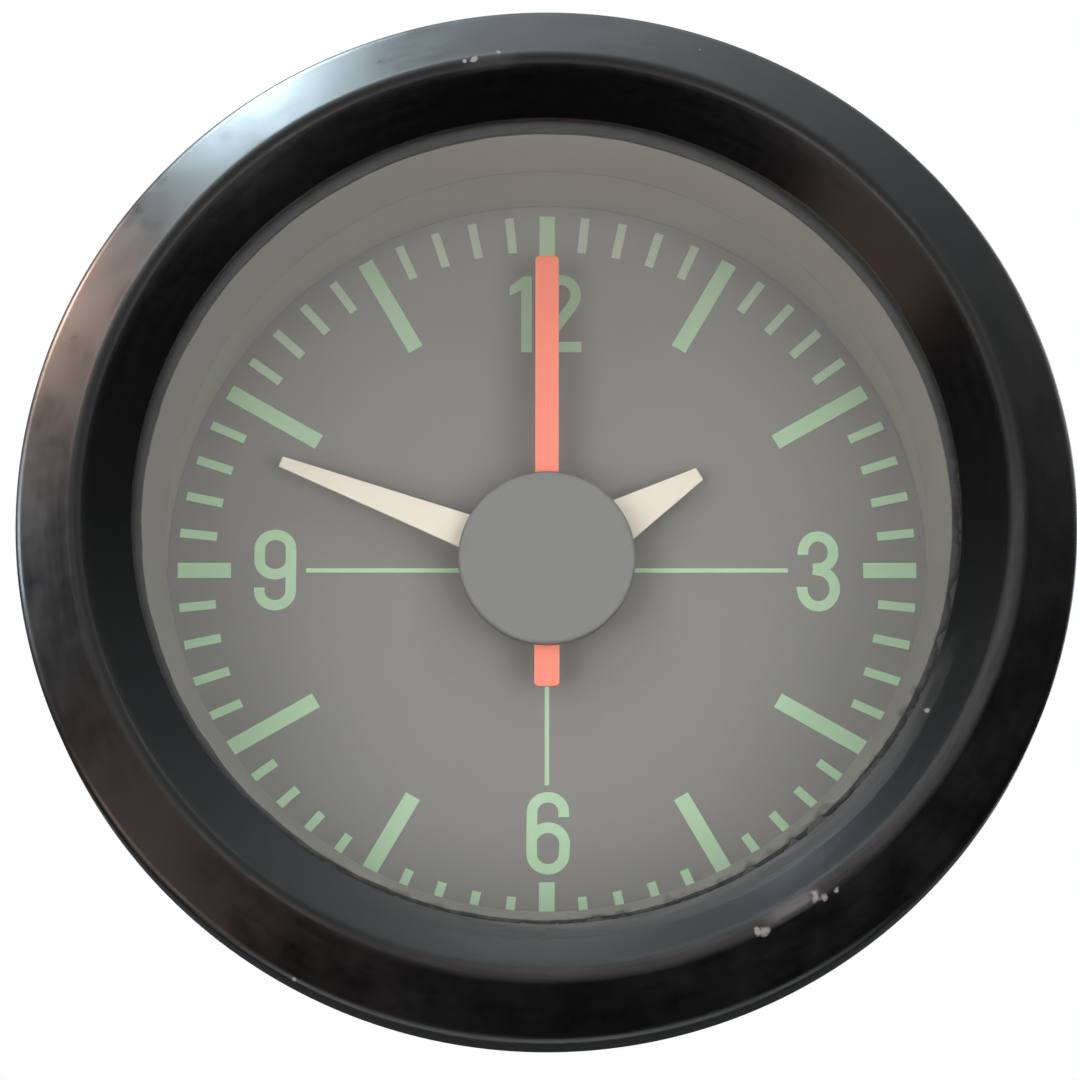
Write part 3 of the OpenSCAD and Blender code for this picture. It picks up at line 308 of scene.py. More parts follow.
def round_axis(tree, place):
    """A place split into X, Y and Z, and its distance from the clock's axis."""
    split = add(tree, "ShaderNodeSeparateXYZ", {"Vector": place})
    flat = add(tree, "ShaderNodeCombineXYZ", {"X": split.outputs["X"], "Y": split.outputs["Z"]})
    radius = add(tree, "ShaderNodeVectorMath", {0: flat.outputs["Vector"]}, operation="LENGTH")
    return split, radius.outputs["Value"]


def spots(tree, place, where):
    """A mask that is 1 at the centre of each listed spot and falls to 0 at its half width."""
    mask = None
    for x, y, z, size in where:
        far = add(tree, "ShaderNodeVectorMath", {0: place, 1: (x * MM, y * MM, z * MM)}, operation="DISTANCE")
        spot = add(tree, "ShaderNodeMapRange", {
            "Value": far.outputs["Value"], "From Min": 0.0, "From Max": size * MM, "To Min": 1.0,
            "To Max": 0.0})
        mask = spot.outputs["Result"] if mask is None else add(
            tree, "ShaderNodeMath", {0: mask, 1: spot.outputs["Result"]}, operation="MAXIMUM").outputs[0]
    return mask


# Nearly all of a noise lies between these two values
LITTLE, MUCH = 0.3, 0.7


def finish(name, colour, second, rough, span, patch, grain, bump, metallic=0.0, stretch=(1, 1, 1), coat=0.0):
    """A solid finish: colour that drifts between two shades over patches, and a grain in roughness and relief.
    Patch, grain and bump are in millimetres; stretch draws the grain out along an axis, as brushing does.
    The real grain is mostly finer than 0.1 mm, and is drawn as coarse as it needs to show."""
    mat, tree, out, place = open_material(name)
    drift = add(tree, "ShaderNodeTexNoise", {"Vector": place, "Scale": per_mm(patch), "Detail": 3.0})
    tone = add(tree, "ShaderNodeMix", {
        0: drift.outputs["Fac"], 6: shade(colour), 7: shade(second)}, data_type="RGBA")
    laid = add(tree, "ShaderNodeMapping", {"Vector": place, "Scale": stretch})
    fine = add(tree, "ShaderNodeTexNoise", {
        "Vector": laid.outputs["Vector"], "Scale": per_mm(grain), "Detail": 4.0})
    gloss = add(tree, "ShaderNodeMapRange", {
        "Value": fine.outputs["Fac"], "From Min": LITTLE, "From Max": MUCH,
        "To Min": max(0.02, rough - span), "To Max": min(1, rough + span)})
    relief = add(tree, "ShaderNodeBump", {
        "Height": fine.outputs["Fac"], "Strength": 0.6, "Distance": bump * MM})
    body = add(tree, "ShaderNodeBsdfPrincipled", {
        "Base Color": tone.outputs[2], "Roughness": gloss.outputs["Result"], "Metallic": metallic,
        "Normal": relief.outputs["Normal"], "Coat Weight": coat})
    tree.links.new(body.outputs["BSDF"], out.inputs["Surface"])
    return mat


# The bezel's section, in millimetres: (radius, height) of each round's centre, and its radius
EDGE, EDGE_R = (33.4, 4.9), 1.1
CREST, CREST_R = (30.4, 7.25), 0.85
LIP, LIP_R = (27.1, 5.8), 0.2
REAR, REAR_R = (32.9, 1.6), 1.6
SHEET = 0.7
# Directions in degrees square to the slope outside the front roll and to the funnel inside it
SLOPE, FUNNEL = 56.5932, 124.109
GLASS_TOP, SEAL_TOP, RING_TOP, SEAT_TOP = 5.3, 3.9, 3.4, 0.7
LIP_RADIUS, FOOT_RADIUS, CRIMP_RADIUS = 26.9, 27.2534, 30.6

# Ways in which the roll carries a painted highlight, dust lies in the lip's corner and grime has settled on the
# glass
ROLL_SHEEN_SIDE, DUSTY_SIDE, GRIMY_SIDE = (0.64, 0, -0.77), (0.375, 0, -0.927), (0.55, 0, -0.83)
# Where the enamel is knocked off: centre and half width in millimetres
CHIPS = [(-4.85, -8.04, 30.25, 0.62), (-3.21, -7.88, 30.72, 0.5), (-5.4, -8.06, 30.1, 0.38),
         (13.8, -7.9, -27.6, 0.95), (13.35, -7.95, -27.7, 0.7), (16.95, -8.05, -25.5, 1.0),
         (17.55, -7.85, -25.5, 0.75), (18.36, -7.8, -25.0, 0.6),
         (10.1, -6.5, 31.4, 0.45), (-16.0, -5.4, -30.4, 0.5), (24.4, -6.5, -13.1, 0.55)]
# Where hands rubbed the front roll: direction from twelve o'clock and half its reach in radians, and how much
RUBBED = [(2.607, 0.07, 1.0), (-0.129, 0.055, 0.22)]
# Unevenness of the seal's edge: waves in one turn, their phase in radians and their size beside each other
SEAL_WAVES = [(23, 1.0, 1.0), (57, 0.0, 0.7), (131, 2.0, 0.5)]


def bezel_enamel(colours):
    """Stove enamel on pressed steel: nearly black and satin, so that light spreads into long soft streaks."""
    mat, tree, out, place = open_material("black_stove_enamel")
    split, radius = round_axis(tree, place)
    turn = add(tree, "ShaderNodeMath", {0: split.outputs["X"], 1: split.outputs["Z"]}, operation="ARCTAN2")
    # the press and the polishing left fine lines that run round: they are drawn out along the turn
    along = add(tree, "ShaderNodeMath", {0: turn.outputs[0], 1: 3.0 * MM}, operation="MULTIPLY")
    round_place = add(tree, "ShaderNodeCombineXYZ", {
        "X": along.outputs[0], "Y": radius, "Z": split.outputs["Y"]})
    lines = add(tree, "ShaderNodeTexNoise", {
        "Vector": round_place.outputs["Vector"], "Scale": per_mm(0.5), "Detail": 5.0, "Roughness": 0.6})
    peel = add(tree, "ShaderNodeTexNoise", {"Vector": place, "Scale": per_mm(0.7), "Detail": 3.0})
    haze = add(tree, "ShaderNodeTexNoise", {"Vector": place, "Scale": per_mm(3.5), "Detail": 2.0})
    both = add(tree, "ShaderNodeMix", {
        0: 0.45, 2: lines.outputs["Fac"], 3: peel.outputs["Fac"]}, data_type="FLOAT")
    # paint knocked off by years of use, with ragged edges
    ragged = add(tree, "ShaderNodeTexNoise", {"Vector": place, "Scale": per_mm(0.5), "Detail": 4.0})
    edge = add(tree, "ShaderNodeMath", {
        0: spots(tree, place, CHIPS), 1: ragged.outputs["Fac"]}, operation="MULTIPLY")
    bare = add(tree, "ShaderNodeMapRange", {"Value": edge.outputs[0], "From Min": 0.30, "From Max": 0.42})
    # painted highlight: the front roll is lightened all along the lower right, and rubbed thin most where the
    # clock was gripped
    down = add(tree, "ShaderNodeVectorMath", {0: place, 1: ROLL_SHEEN_SIDE}, operation="DOT_PRODUCT")
    side = add(tree, "ShaderNodeMapRange", {
        "Value": down.outputs["Value"], "From Min": 13 * MM, "From Max": 26 * MM})
    apart = add(tree, "ShaderNodeMath", {0: radius, 1: CREST[0] * MM}, operation="SUBTRACT")
    beside = add(tree, "ShaderNodeMath", {0: apart.outputs[0]}, operation="ABSOLUTE")
    roll = add(tree, "ShaderNodeMapRange", {
        "Value": beside.outputs[0], "From Min": 0.15 * MM, "From Max": 0.7 * MM, "To Min": 1.0,
        "To Max": 0.0})
    most = add(tree, "ShaderNodeMath", {0: side.outputs["Result"], 1: 0.28}, operation="MULTIPLY")
    for middle, half, share in RUBBED:
        off = add(tree, "ShaderNodeMath", {0: turn.outputs[0], 1: middle}, operation="SUBTRACT")
        away = add(tree, "ShaderNodeMath", {0: off.outputs[0]}, operation="ABSOLUTE")
        near = add(tree, "ShaderNodeMapRange", {
            "Value": away.outputs[0], "From Min": 0.5 * half, "From Max": 1.3 * half, "To Min": share,
            "To Max": 0.0})
        most = add(tree, "ShaderNodeMath", {
            0: most.outputs[0], 1: near.outputs["Result"]}, operation="MAXIMUM")
    gripped_and_sheen = add(tree, "ShaderNodeMath", {
        0: roll.outputs["Result"], 1: most.outputs[0]}, operation="MULTIPLY")
    rubbed_and_sheen = add(tree, "ShaderNodeMath", {
        0: gripped_and_sheen.outputs[0], 1: lines.outputs["Fac"]}, operation="MULTIPLY")
    # dust has settled in the corner at the lip, most at the bottom
    corner = add(tree, "ShaderNodeMapRange", {
        "Value": radius, "From Min": 27.0 * MM, "From Max": 28.2 * MM, "To Min": 1.0, "To Max": 0.0})
    streaks = add(tree, "ShaderNodeMapRange", {
        "Value": lines.outputs["Fac"], "From Min": 0.35, "From Max": 0.6, "To Min": 0.45, "To Max": 1.0})
    low = add(tree, "ShaderNodeVectorMath", {0: place, 1: DUSTY_SIDE}, operation="DOT_PRODUCT")
    lowest = add(tree, "ShaderNodeMapRange", {
        "Value": low.outputs["Value"], "From Min": 17 * MM, "From Max": 26 * MM})
    settled = add(tree, "ShaderNodeMath", {
        0: corner.outputs["Result"], 1: lowest.outputs["Result"]}, operation="MULTIPLY")
    dust = add(tree, "ShaderNodeMath", {
        0: settled.outputs[0], 1: streaks.outputs["Result"]}, operation="MULTIPLY")
    tone = add(tree, "ShaderNodeMix", {
        0: haze.outputs["Fac"], 6: shade(colours.enamel), 7: shade("#080707")}, data_type="RGBA")
    # the bared patches run from dull primer to a bright painted glint where the bared metal would catch the
    # light
    primer_and_glint = add(tree, "ShaderNodeMix", {
        0: lines.outputs["Fac"], 6: shade("#6d6462"), 7: shade("#cfc9c8")}, data_type="RGBA")
    # painted highlight on the roll's lower right, mixed with the real rub marks where it was gripped
    rub_and_sheen_tone = add(tree, "ShaderNodeMix", {
        0: rubbed_and_sheen.outputs[0], 6: tone.outputs[2], 7: shade("#979394")}, data_type="RGBA")
    dusty = add(tree, "ShaderNodeMix", {
        0: dust.outputs[0], 6: rub_and_sheen_tone.outputs[2], 7: shade("#6f6f6e")}, data_type="RGBA")
    colour = add(tree, "ShaderNodeMix", {
        0: bare.outputs["Result"], 6: dusty.outputs[2], 7: primer_and_glint.outputs[2]}, data_type="RGBA")
    # the funnel kept its shine, the slope has weathered, and hands have dulled the front roll most
    satin = add(tree, "ShaderNodeMapRange", {
        "Value": both.outputs[0], "From Min": LITTLE, "From Max": MUCH, "To Min": 0.28, "To Max": 0.38})
    outside = add(tree, "ShaderNodeMapRange", {"Value": radius, "From Min": 29.4 * MM, "From Max": 30.6 * MM})
    shine = add(tree, "ShaderNodeMapRange", {
        "Value": outside.outputs["Result"], "To Min": -0.12, "To Max": 0.0})
    lip = add(tree, "ShaderNodeMapRange", {
        "Value": radius, "From Min": LIP_RADIUS * MM, "From Max": (LIP_RADIUS + 0.03) * MM, "To Min": 0.3,
        "To Max": 0.0})
    # old polish has dried on the slope in soft patches
    dried = add(tree, "ShaderNodeMapRange", {
        "Value": haze.outputs["Fac"], "From Min": 0.35, "From Max": 0.65, "To Min": -0.04, "To Max": 0.07})
    patches = add(tree, "ShaderNodeMath", {
        0: dried.outputs["Result"], 1: outside.outputs["Result"]}, operation="MULTIPLY")
    blunt = add(tree, "ShaderNodeMath", {0: roll.outputs["Result"], 1: 0.2}, operation="MULTIPLY")
    worn = satin.outputs["Result"]
    for share in (patches, shine, blunt, gripped_and_sheen, lip, dust):
        worn = add(tree, "ShaderNodeMath", {0: worn, 1: share.outputs[0]}, operation="ADD").outputs[0]
    rough = add(tree, "ShaderNodeMix", {0: bare.outputs["Result"], 2: worn, 3: 0.65}, data_type="FLOAT")
    relief = add(tree, "ShaderNodeBump", {"Height": both.outputs[0], "Strength": 0.5, "Distance": 0.012 * MM})
    cut = add(tree, "ShaderNodeBump", {
        "Height": bare.outputs["Result"], "Strength": 0.8, "Distance": -0.05 * MM,
        "Normal": relief.outputs["Normal"]})
    body = add(tree, "ShaderNodeBsdfPrincipled", {
        "Base Color": colour.outputs[2], "Roughness": rough.outputs[0], "Normal": cut.outputs["Normal"]})
    tree.links.new(body.outputs["BSDF"], out.inputs["Surface"])
    return mat


def clear_glass(lip):
    """Flat watch glass: colourless and polished, with the grime of years in the outer corner where it meets
    the bezel's lip, which gives the opening a dark, slightly ragged edge."""
    mat, tree, out, place = open_material("clear_watch_glass")
    split, radius = round_axis(tree, place)
    # more of it has settled towards the lower right
    down = add(tree, "ShaderNodeVectorMath", {0: place, 1: GRIMY_SIDE}, operation="DOT_PRODUCT")
    width = add(tree, "ShaderNodeMapRange", {
        "Value": down.outputs["Value"], "From Min": 0.0, "From Max": lip * MM, "To Min": 0.0,
        "To Max": 0.45 * MM})
    ragged = add(tree, "ShaderNodeTexNoise", {"Vector": place, "Scale": per_mm(1.8), "Detail": 3.0})
    reach = add(tree, "ShaderNodeMapRange", {
        "Value": ragged.outputs["Fac"], "From Min": LITTLE, "From Max": MUCH, "To Min": -0.4, "To Max": 1.8})
    band = add(tree, "ShaderNodeMath", {
        0: width.outputs["Result"], 1: reach.outputs["Result"]}, operation="MULTIPLY")
    inner = add(tree, "ShaderNodeMath", {0: lip * MM, 1: band.outputs[0]}, operation="SUBTRACT")
    past = add(tree, "ShaderNodeMath", {0: radius, 1: inner.outputs[0]}, operation="SUBTRACT")
    # it keeps to the outer part of the pane's thickness
    outer = add(tree, "ShaderNodeMath", {
        0: split.outputs["Y"], 1: -(GLASS_TOP - 0.4) * MM}, operation="LESS_THAN")
    thick = add(tree, "ShaderNodeMapRange", {
        "Value": past.outputs[0], "From Min": 0.0, "From Max": 0.45 * MM})
    grime = add(tree, "ShaderNodeMath", {
        0: thick.outputs["Result"], 1: outer.outputs[0]}, operation="MULTIPLY")
    clean = add(tree, "ShaderNodeMath", {0: 1.0, 1: grime.outputs[0]}, operation="SUBTRACT")
    smear = add(tree, "ShaderNodeMix", {
        0: ragged.outputs["Fac"], 6: shade("#434342"), 7: shade("#6c6d6c")}, data_type="RGBA")
    # a thin film darkens the pane a little before the dirt closes it
    edge = add(tree, "ShaderNodeMapRange", {
        "Value": past.outputs[0], "From Min": -0.35 * MM, "From Max": 0.1 * MM})
    film = add(tree, "ShaderNodeMath", {0: edge.outputs["Result"], 1: outer.outputs[0]}, operation="MULTIPLY")
    tone = add(tree, "ShaderNodeMix", {
        0: film.outputs[0], 6: shade("#fbfdfc"), 7: smear.outputs[2]}, data_type="RGBA")
    matt = add(tree, "ShaderNodeMath", {0: grime.outputs[0], 1: 0.8}, operation="MULTIPLY")
    glass = add(tree, "ShaderNodeBsdfPrincipled", {
        "Base Color": tone.outputs[2], "Roughness": matt.outputs[0], "Transmission Weight": clean.outputs[0],
        "IOR": 1.5})
    # lamps reach the dial straight through the thin pane
    light = add(tree, "ShaderNodeLightPath")
    clear = add(tree, "ShaderNodeBsdfTransparent")
    pane = add(tree, "ShaderNodeMixShader", {
        0: light.outputs["Is Shadow Ray"], 1: glass.outputs["BSDF"], 2: clear.outputs["BSDF"]})
    tree.links.new(pane.outputs["Shader"], out.inputs["Surface"])
    return mat


class CLOCK_OT_bezel(bpy.types.Operator):
    """Spins the rolled bezel from its section and gives it black enamel"""

    bl_idname = "clock.bezel"
    bl_label = "Bezel"

    def execute(self, context):
        section = (
            [(CRIMP_RADIUS, 0)] + arc(REAR, REAR_R, -90, 0, 8) + arc(EDGE, EDGE_R, 0, SLOPE, 10)
            + arc(CREST, CREST_R, SLOPE, FUNNEL, 18) + arc(LIP, LIP_R, FUNNEL, 180, 5)
            + [(LIP_RADIUS, GLASS_TOP), (FOOT_RADIUS, GLASS_TOP)]
            + arc(CREST, CREST_R - SHEET, FUNNEL, SLOPE, 4) + arc(EDGE, EDGE_R - SHEET, SLOPE, 0, 4)
            + arc(REAR, REAR_R - SHEET, 0, -90, 5) + [(CRIMP_RADIUS, SEAT_TOP)])
        bezel = turned("rolled_bezel", section, 288)
        seat(bezel, "case", "bezel_black", bezel_enamel(context.scene.clock_colours), "bezel")
        return {"FINISHED"}


class CLOCK_OT_glass(bpy.types.Operator):
    """Makes the glass with its ground edge, and the seal whose edge strays under it"""

    bl_idname = "clock.glass"
    bl_label = "Glass and seal"

    def execute(self, context):
        sizes = context.scene.clock_sizes
        outer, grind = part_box("lens")[1].x / MM, 0.25
        section = [(0, SEAL_TOP), (outer - grind, SEAL_TOP), (outer, SEAL_TOP + grind),
                   (outer, GLASS_TOP - grind), (outer - grind, GLASS_TOP), (0, GLASS_TOP)]
        lens = turned("ground_glass", section, 128)
        seat(lens, "case", "clear_glass", clear_glass(LIP_RADIUS), "lens")
        inner, outer, gap = inner_radius("lens_seal"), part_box("lens_seal")[1].x / MM, 0.02
        section = [(inner, RING_TOP + gap), (outer, RING_TOP + gap), (outer, SEAL_TOP - gap),
                   (inner, SEAL_TOP - gap)]
        seal = turned("glass_seal", section, 360)
        whole = sum(size for count, phase, size in SEAL_WAVES)
        for v in seal.data.vertices:
            flat = Vector((v.co.x, v.co.z))
            if flat.length < (inner + 0.1) * MM:
                # the waves are strongest at the lower left, and hardly move the edge outwards
                a = math.atan2(v.co.x, v.co.z)
                wave = sum(size * math.sin(count * a + phase) for count, phase, size in SEAL_WAVES) / whole
                shove = wave * sizes.seal_wobble * (0.5 + 0.5 * max(0.0, -math.cos(a - 0.9)))
                grown = flat * (1 - max(-0.02 * MM, shove) / flat.length)
                v.co.x, v.co.z = grown.x, grown.y
        # pressed rubber strip: dull, with a bloom of dust in its pores
        rubber = finish("black_rubber_seal", "#3f3e40", "#525152", 0.75, 0.1, 2.5, 0.25, 0.03)
        seat(seal, "case", "black_rubber", rubber, "lens_seal")
        return {"FINISHED"}


def inner_radius(node):
    """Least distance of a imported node's corners from the clock's axis, in millimetres."""
    return min(math.hypot(v.co.x, v.co.z) for v in NODES[node].data.vertices) / MM


def drawn(points, closed=False):
    """A flat curve of straight lines through (x, y) points in metres."""
    bpy.ops.object.select_all(action="DESELECT")
    bpy.ops.curve.primitive_bezier_curve_add(location=(0, 0, 0))
    curve = bpy.context.object
    curve.data.splines.clear()
    spline = curve.data.splines.new("POLY")
    spline.points.add(len(points) - 1)
    for point, (x, y) in zip(spline.points, points):
        point.co = (x, y, 0, 1)
    spline.use_cyclic_u = closed
    return curve


def printed(obj, name, place):
    """Turns a number from the plane it is drawn in to the dial's, and puts it in its place."""
    obj.name = obj.data.name = name
    obj.rotation_euler = (math.radians(90), 0, 0)
    obj.location = place
    edit(obj)
    weld()
    face_outwards()
    settle()
    bpy.ops.object.shade_flat()
    return obj


# How much thicker each next stroke of a number is, so that no two faces share a plane where strokes cross
THICKER = 0.15


def strokes(name, paths, width, depth, place):
    """Printed strokes: each path of (x, z) in millimetres round place is swept by a flat bar."""
    made = []
    for n, path in enumerate(paths):
        line = drawn([(x * MM, z * MM) for x, z in path])
        half, deep = width / 2, depth * (1 + THICKER * n) / 2
        bar = drawn([(-half, -deep), (half, -deep), (half, deep), (-half, deep)], closed=True)
        line.data.bevel_mode = "OBJECT"
        line.data.bevel_object = bar
        line.data.use_fill_caps = True
        only(line)
        bpy.ops.object.convert(target="MESH")
        made.append(bpy.context.object)
        bpy.data.objects.remove(bar)
    for piece in made:
        piece.select_set(True)
    bpy.context.view_layer.objects.active = made[0]
    if len(made) > 1:
        bpy.ops.object.join()
    return printed(bpy.context.object, name, place)


OVAL_STEPS = 14


def oval(centre, across, tall, start, end):
    """Points on an oval of a number, from one direction in degrees to another."""
    return [(centre[0] + across * math.cos(math.radians(a)), centre[1] + tall * math.sin(math.radians(a)))
            for a in (start + (end - start) * i / OVAL_STEPS for i in range(OVAL_STEPS + 1))]


# Each number's strokes in millimetres round its own middle, and where that middle lies on the dial
NUMERALS = {
    "three": ((18.36, -0.06), [
        [(-1.03, 1.15)] + oval((0, 1.32), 1.03, 1.12, 180, -82) + [(-0.36, 0.18)],
        [(-0.36, 0.12)] + oval((0, -1.20), 1.11, 1.24, 82, -180) + [(-1.11, -1.08)]]),
    "nine": ((-18.40, 0.03), [
        oval((0, 1.48), 1.06, 0.97, 0, 180) + oval((0, 0.60), 1.06, 0.89, 180, 360),
        [(1.06, 1.48)] + oval((0, -1.48), 1.06, 0.97, 0, -180) + [(-1.06, -1.22)]]),
    "six": ((0.07, -18.07), [
        [(1.06, 1.10)] + oval((0, 1.46), 1.06, 0.99, 0, 180) + oval((0, -1.40), 1.09, 1.05, 180, 360),
        [(1.09, -1.45)] + oval((0, -0.72), 1.12, 1.10, 0, 150)]),
    "two": ((0.93, 18.02), [
        [(-1.05, 1.05)] + oval((0, 1.37), 1.03, 1.07, 180, -20)
        + [(0.72, 0.55), (-0.92, -1.75), (-1.02, -2.3)],
        [(-1.38, -2.32), (1.41, -2.32)]]),
}
ONE_OUTLINE = [(-1.05, 15.33), (-1.05, 20.72), (-1.62, 20.72), (-2.57, 19.98), (-2.57, 19.36), (-1.78, 19.72),
               (-1.78, 15.33)]


def luminous_print(colours):
    """Screened luminous paint: chalky and slightly uneven, and greyer towards twelve o'clock, the thinner
    minute marks more than the hour marks."""
    mat, tree, out, place = open_material("luminous_print")
    split, radius = round_axis(tree, place)
    chalk = add(tree, "ShaderNodeTexNoise", {"Vector": place, "Scale": per_mm(0.6), "Detail": 4.0})
    # the print turns greyer from low on the dial up to twelve o'clock
    height = add(tree, "ShaderNodeMapRange", {
        "Value": split.outputs["Z"], "From Min": 2 * MM, "From Max": 25 * MM})
    # hour marks lie at whole twelfths of a turn, so a minute mark is away from both ends of a twelfth
    turn = add(tree, "ShaderNodeMath", {0: split.outputs["X"], 1: split.outputs["Z"]}, operation="ARCTAN2")
    hours = add(tree, "ShaderNodeMath", {0: turn.outputs[0], 1: math.radians(30)}, operation="DIVIDE")
    part = add(tree, "ShaderNodeMath", {0: hours.outputs[0]}, operation="FRACT")
    middle = add(tree, "ShaderNodeMath", {0: part.outputs[0], 1: 0.5}, operation="SUBTRACT")
    off = add(tree, "ShaderNodeMath", {0: middle.outputs[0]}, operation="ABSOLUTE")
    minute = add(tree, "ShaderNodeMapRange", {
        "Value": off.outputs[0], "From Min": 0.36, "From Max": 0.42, "To Min": 1.0, "To Max": 0.0})
    track = add(tree, "ShaderNodeMapRange", {"Value": radius, "From Min": 21.5 * MM, "From Max": 22.0 * MM})
    mark = add(tree, "ShaderNodeMath", {
        0: minute.outputs["Result"], 1: track.outputs["Result"]}, operation="MULTIPLY")
    greyer_at_top = add(tree, "ShaderNodeMix", {
        0: mark.outputs[0], 6: shade("#a4b79f"), 7: shade("#aeb2a8")}, data_type="RGBA")
    chalk_tone = add(tree, "ShaderNodeMix", {
        0: chalk.outputs["Fac"], 6: shade(colours.luminous), 7: shade("#b2d3b1")}, data_type="RGBA")
    tone = add(tree, "ShaderNodeMix", {
        0: height.outputs["Result"], 6: chalk_tone.outputs[2], 7: greyer_at_top.outputs[2]}, data_type="RGBA")
    relief = add(tree, "ShaderNodeBump", {
        "Height": chalk.outputs["Fac"], "Strength": 0.6, "Distance": 0.006 * MM})
    body = add(tree, "ShaderNodeBsdfPrincipled", {
        "Base Color": tone.outputs[2], "Roughness": 0.7, "Normal": relief.outputs["Normal"]})
    tree.links.new(body.outputs["BSDF"], out.inputs["Surface"])
    return mat


class CLOCK_OT_dial(bpy.types.Operator):
    """Finishes the dial and prints its numbers"""

    bl_idname = "clock.dial"
    bl_label = "Dial and numbers"

    def execute(self, context):
        sizes, colours = context.scene.clock_sizes, context.scene.clock_colours
        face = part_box("dial")[0].y
        luminous = luminous_print(colours)
        # sprayed flat lacquer on sheet metal: an even grey with a fine dry grain
        lacquer = finish("grey_dial_lacquer", colours.dial, "#8a8785", 0.62, 0.08, 14.0, 0.12, 0.004)
        dress("dial", lacquer)
        dress("dial_print", luminous)
        level = face - sizes.print_depth / 2
        grow = sizes.numeral_height / (NUMERAL_HEIGHT * MM)
        for name, ((x, z), bars) in NUMERALS.items():
            paths = [[(px * grow, pz * grow) for px, pz in path] for path in bars]
            number = strokes("numeral_" + name, paths, sizes.numeral_stroke, sizes.print_depth,
                             (x * MM, level, z * MM))
            seat(number, "case", "dial_print", luminous)
        one = drawn([(x * MM, z * MM) for x, z in ONE_OUTLINE], closed=True)
        one.data.dimensions = "2D"
        one.data.fill_mode = "BOTH"
        one.data.extrude = sizes.print_depth / 2
        bpy.ops.object.convert(target="MESH")
        one = printed(context.object, "numeral_one", (0, level, 0))
        seat(one, "case", "dial_print", luminous)
        return {"FINISHED"}


# Depth in millimetres behind the bezel's rear face at which the ring's slope ends in a hem
HEM_DEPTH = 0.8


def painted_light_below(material, depth):
    """Lightens a finish past a depth into the clock: painted light on the ring's foot, which lies in shade
    behind the hem.
    """
    tree = material.node_tree
    base = next(node for node in tree.nodes if node.type == "BSDF_PRINCIPLED").inputs["Base Color"]
    place = next(node for node in tree.nodes if node.type == "TEX_COORD").outputs["Object"]
    split = add(tree, "ShaderNodeSeparateXYZ", {"Vector": place})
    past = add(tree, "ShaderNodeMapRange", {
        "Value": split.outputs["Y"], "From Min": depth, "From Max": depth + 0.3 * MM, "To Min": 0.0,
        "To Max": 0.4})
    lightened_foot = add(tree, "ShaderNodeMix", {
        0: past.outputs["Result"], 6: base.links[0].from_socket, 7: shade("#cfcdc6")}, data_type="RGBA")
    tree.links.new(lightened_foot.outputs[2], base)


class CLOCK_OT_ring(bpy.types.Operator):
    """Finishes the reflector ring between the dial and the glass"""

    bl_idname = "clock.ring"
    bl_label = "Reflector ring"

    def execute(self, context):
        # moulded in matt grey plastic: the tool's fine spark grain kills the shine
        ring = finished("reflector_ring", 1.5, 20)
        colours = context.scene.clock_colours
        plastic = finish("matt_grey_ring_plastic", colours.ring, "#8b8a85", 0.42, 0.06, 10.0, 0.2, 0.006)
        # painted light: the ring's foot past the hem is lightened, standing in for the light it lacks in shade
        painted_light_below(plastic, HEM_DEPTH * MM)
        seat(ring, "case", "ring_plastic", plastic, "reflector_ring")
        return {"FINISHED"}


class CLOCK_OT_hands(bpy.types.Operator):
    """Finishes the three hands and the cap over them"""

    bl_idname = "clock.hands"
    bl_label = "Hands and cap"

    def execute(self, context):
        colours = context.scene.clock_colours
        # stamped from thin sheet and sprayed: flat lacquer with rounded edges that catch a little light
        white = finish("white_hand_lacquer", colours.white_hand, "#e9e0d3", 0.5, 0.06, 4.0, 0.12, 0.003)
        red = finish("red_hand_lacquer", colours.red_hand, "#fd8f7b", 0.45, 0.05, 4.0, 0.12, 0.003)
        # turned cap, sprayed with the dial's grey
        grey = finish("grey_cap_lacquer", colours.hub, "#82817f", 0.6, 0.06, 6.0, 0.12, 0.004)
        for node, body, slot, mat in (("hour_hand", "hour_train", "hand_white", white),
                                      ("minute_hand", "minute_train", "hand_white", white),
                                      ("second_hand", "second_train", "hand_red", red),
                                      ("hand_cap", "second_train", "cap_grey", grey)):
            seat(finished(node, 0.7), body, slot, mat, node)
        return {"FINISHED"}


class CLOCK_OT_housing(bpy.types.Operator):
    """Finishes the drawn steel housing and the screws in its back"""

    bl_idname = "clock.housing"
    bl_label = "Housing"

    def execute(self, context):
        # deep-drawn steel under semi-matt lacquer: the drawing lines run along the barrel
        black = finish("black_housing_lacquer", "#141516", "#1c1d1e", 0.42, 0.08, 9.0, 0.5, 0.012,
                       stretch=(1, 0.15, 1))
        zinc = zinc_plate()
        seat(finished("housing", 1.0, merge=True), "case", "housing_black", black, "housing")
        seat(finished("case_screws", 0.8), "case", "steel", zinc, "case_screws")
        return {"FINISHED"}


def zinc_plate():
    """Bright zinc on turned steel: a cool grey metal with fine turning lines and a slightly cloudy shine."""
    made = bpy.data.materials.get("bright_zinc_plate")
    return made or finish("bright_zinc_plate", "#a9acae", "#94989a", 0.3, 0.1, 2.5, 0.12, 0.004, metallic=1.0)


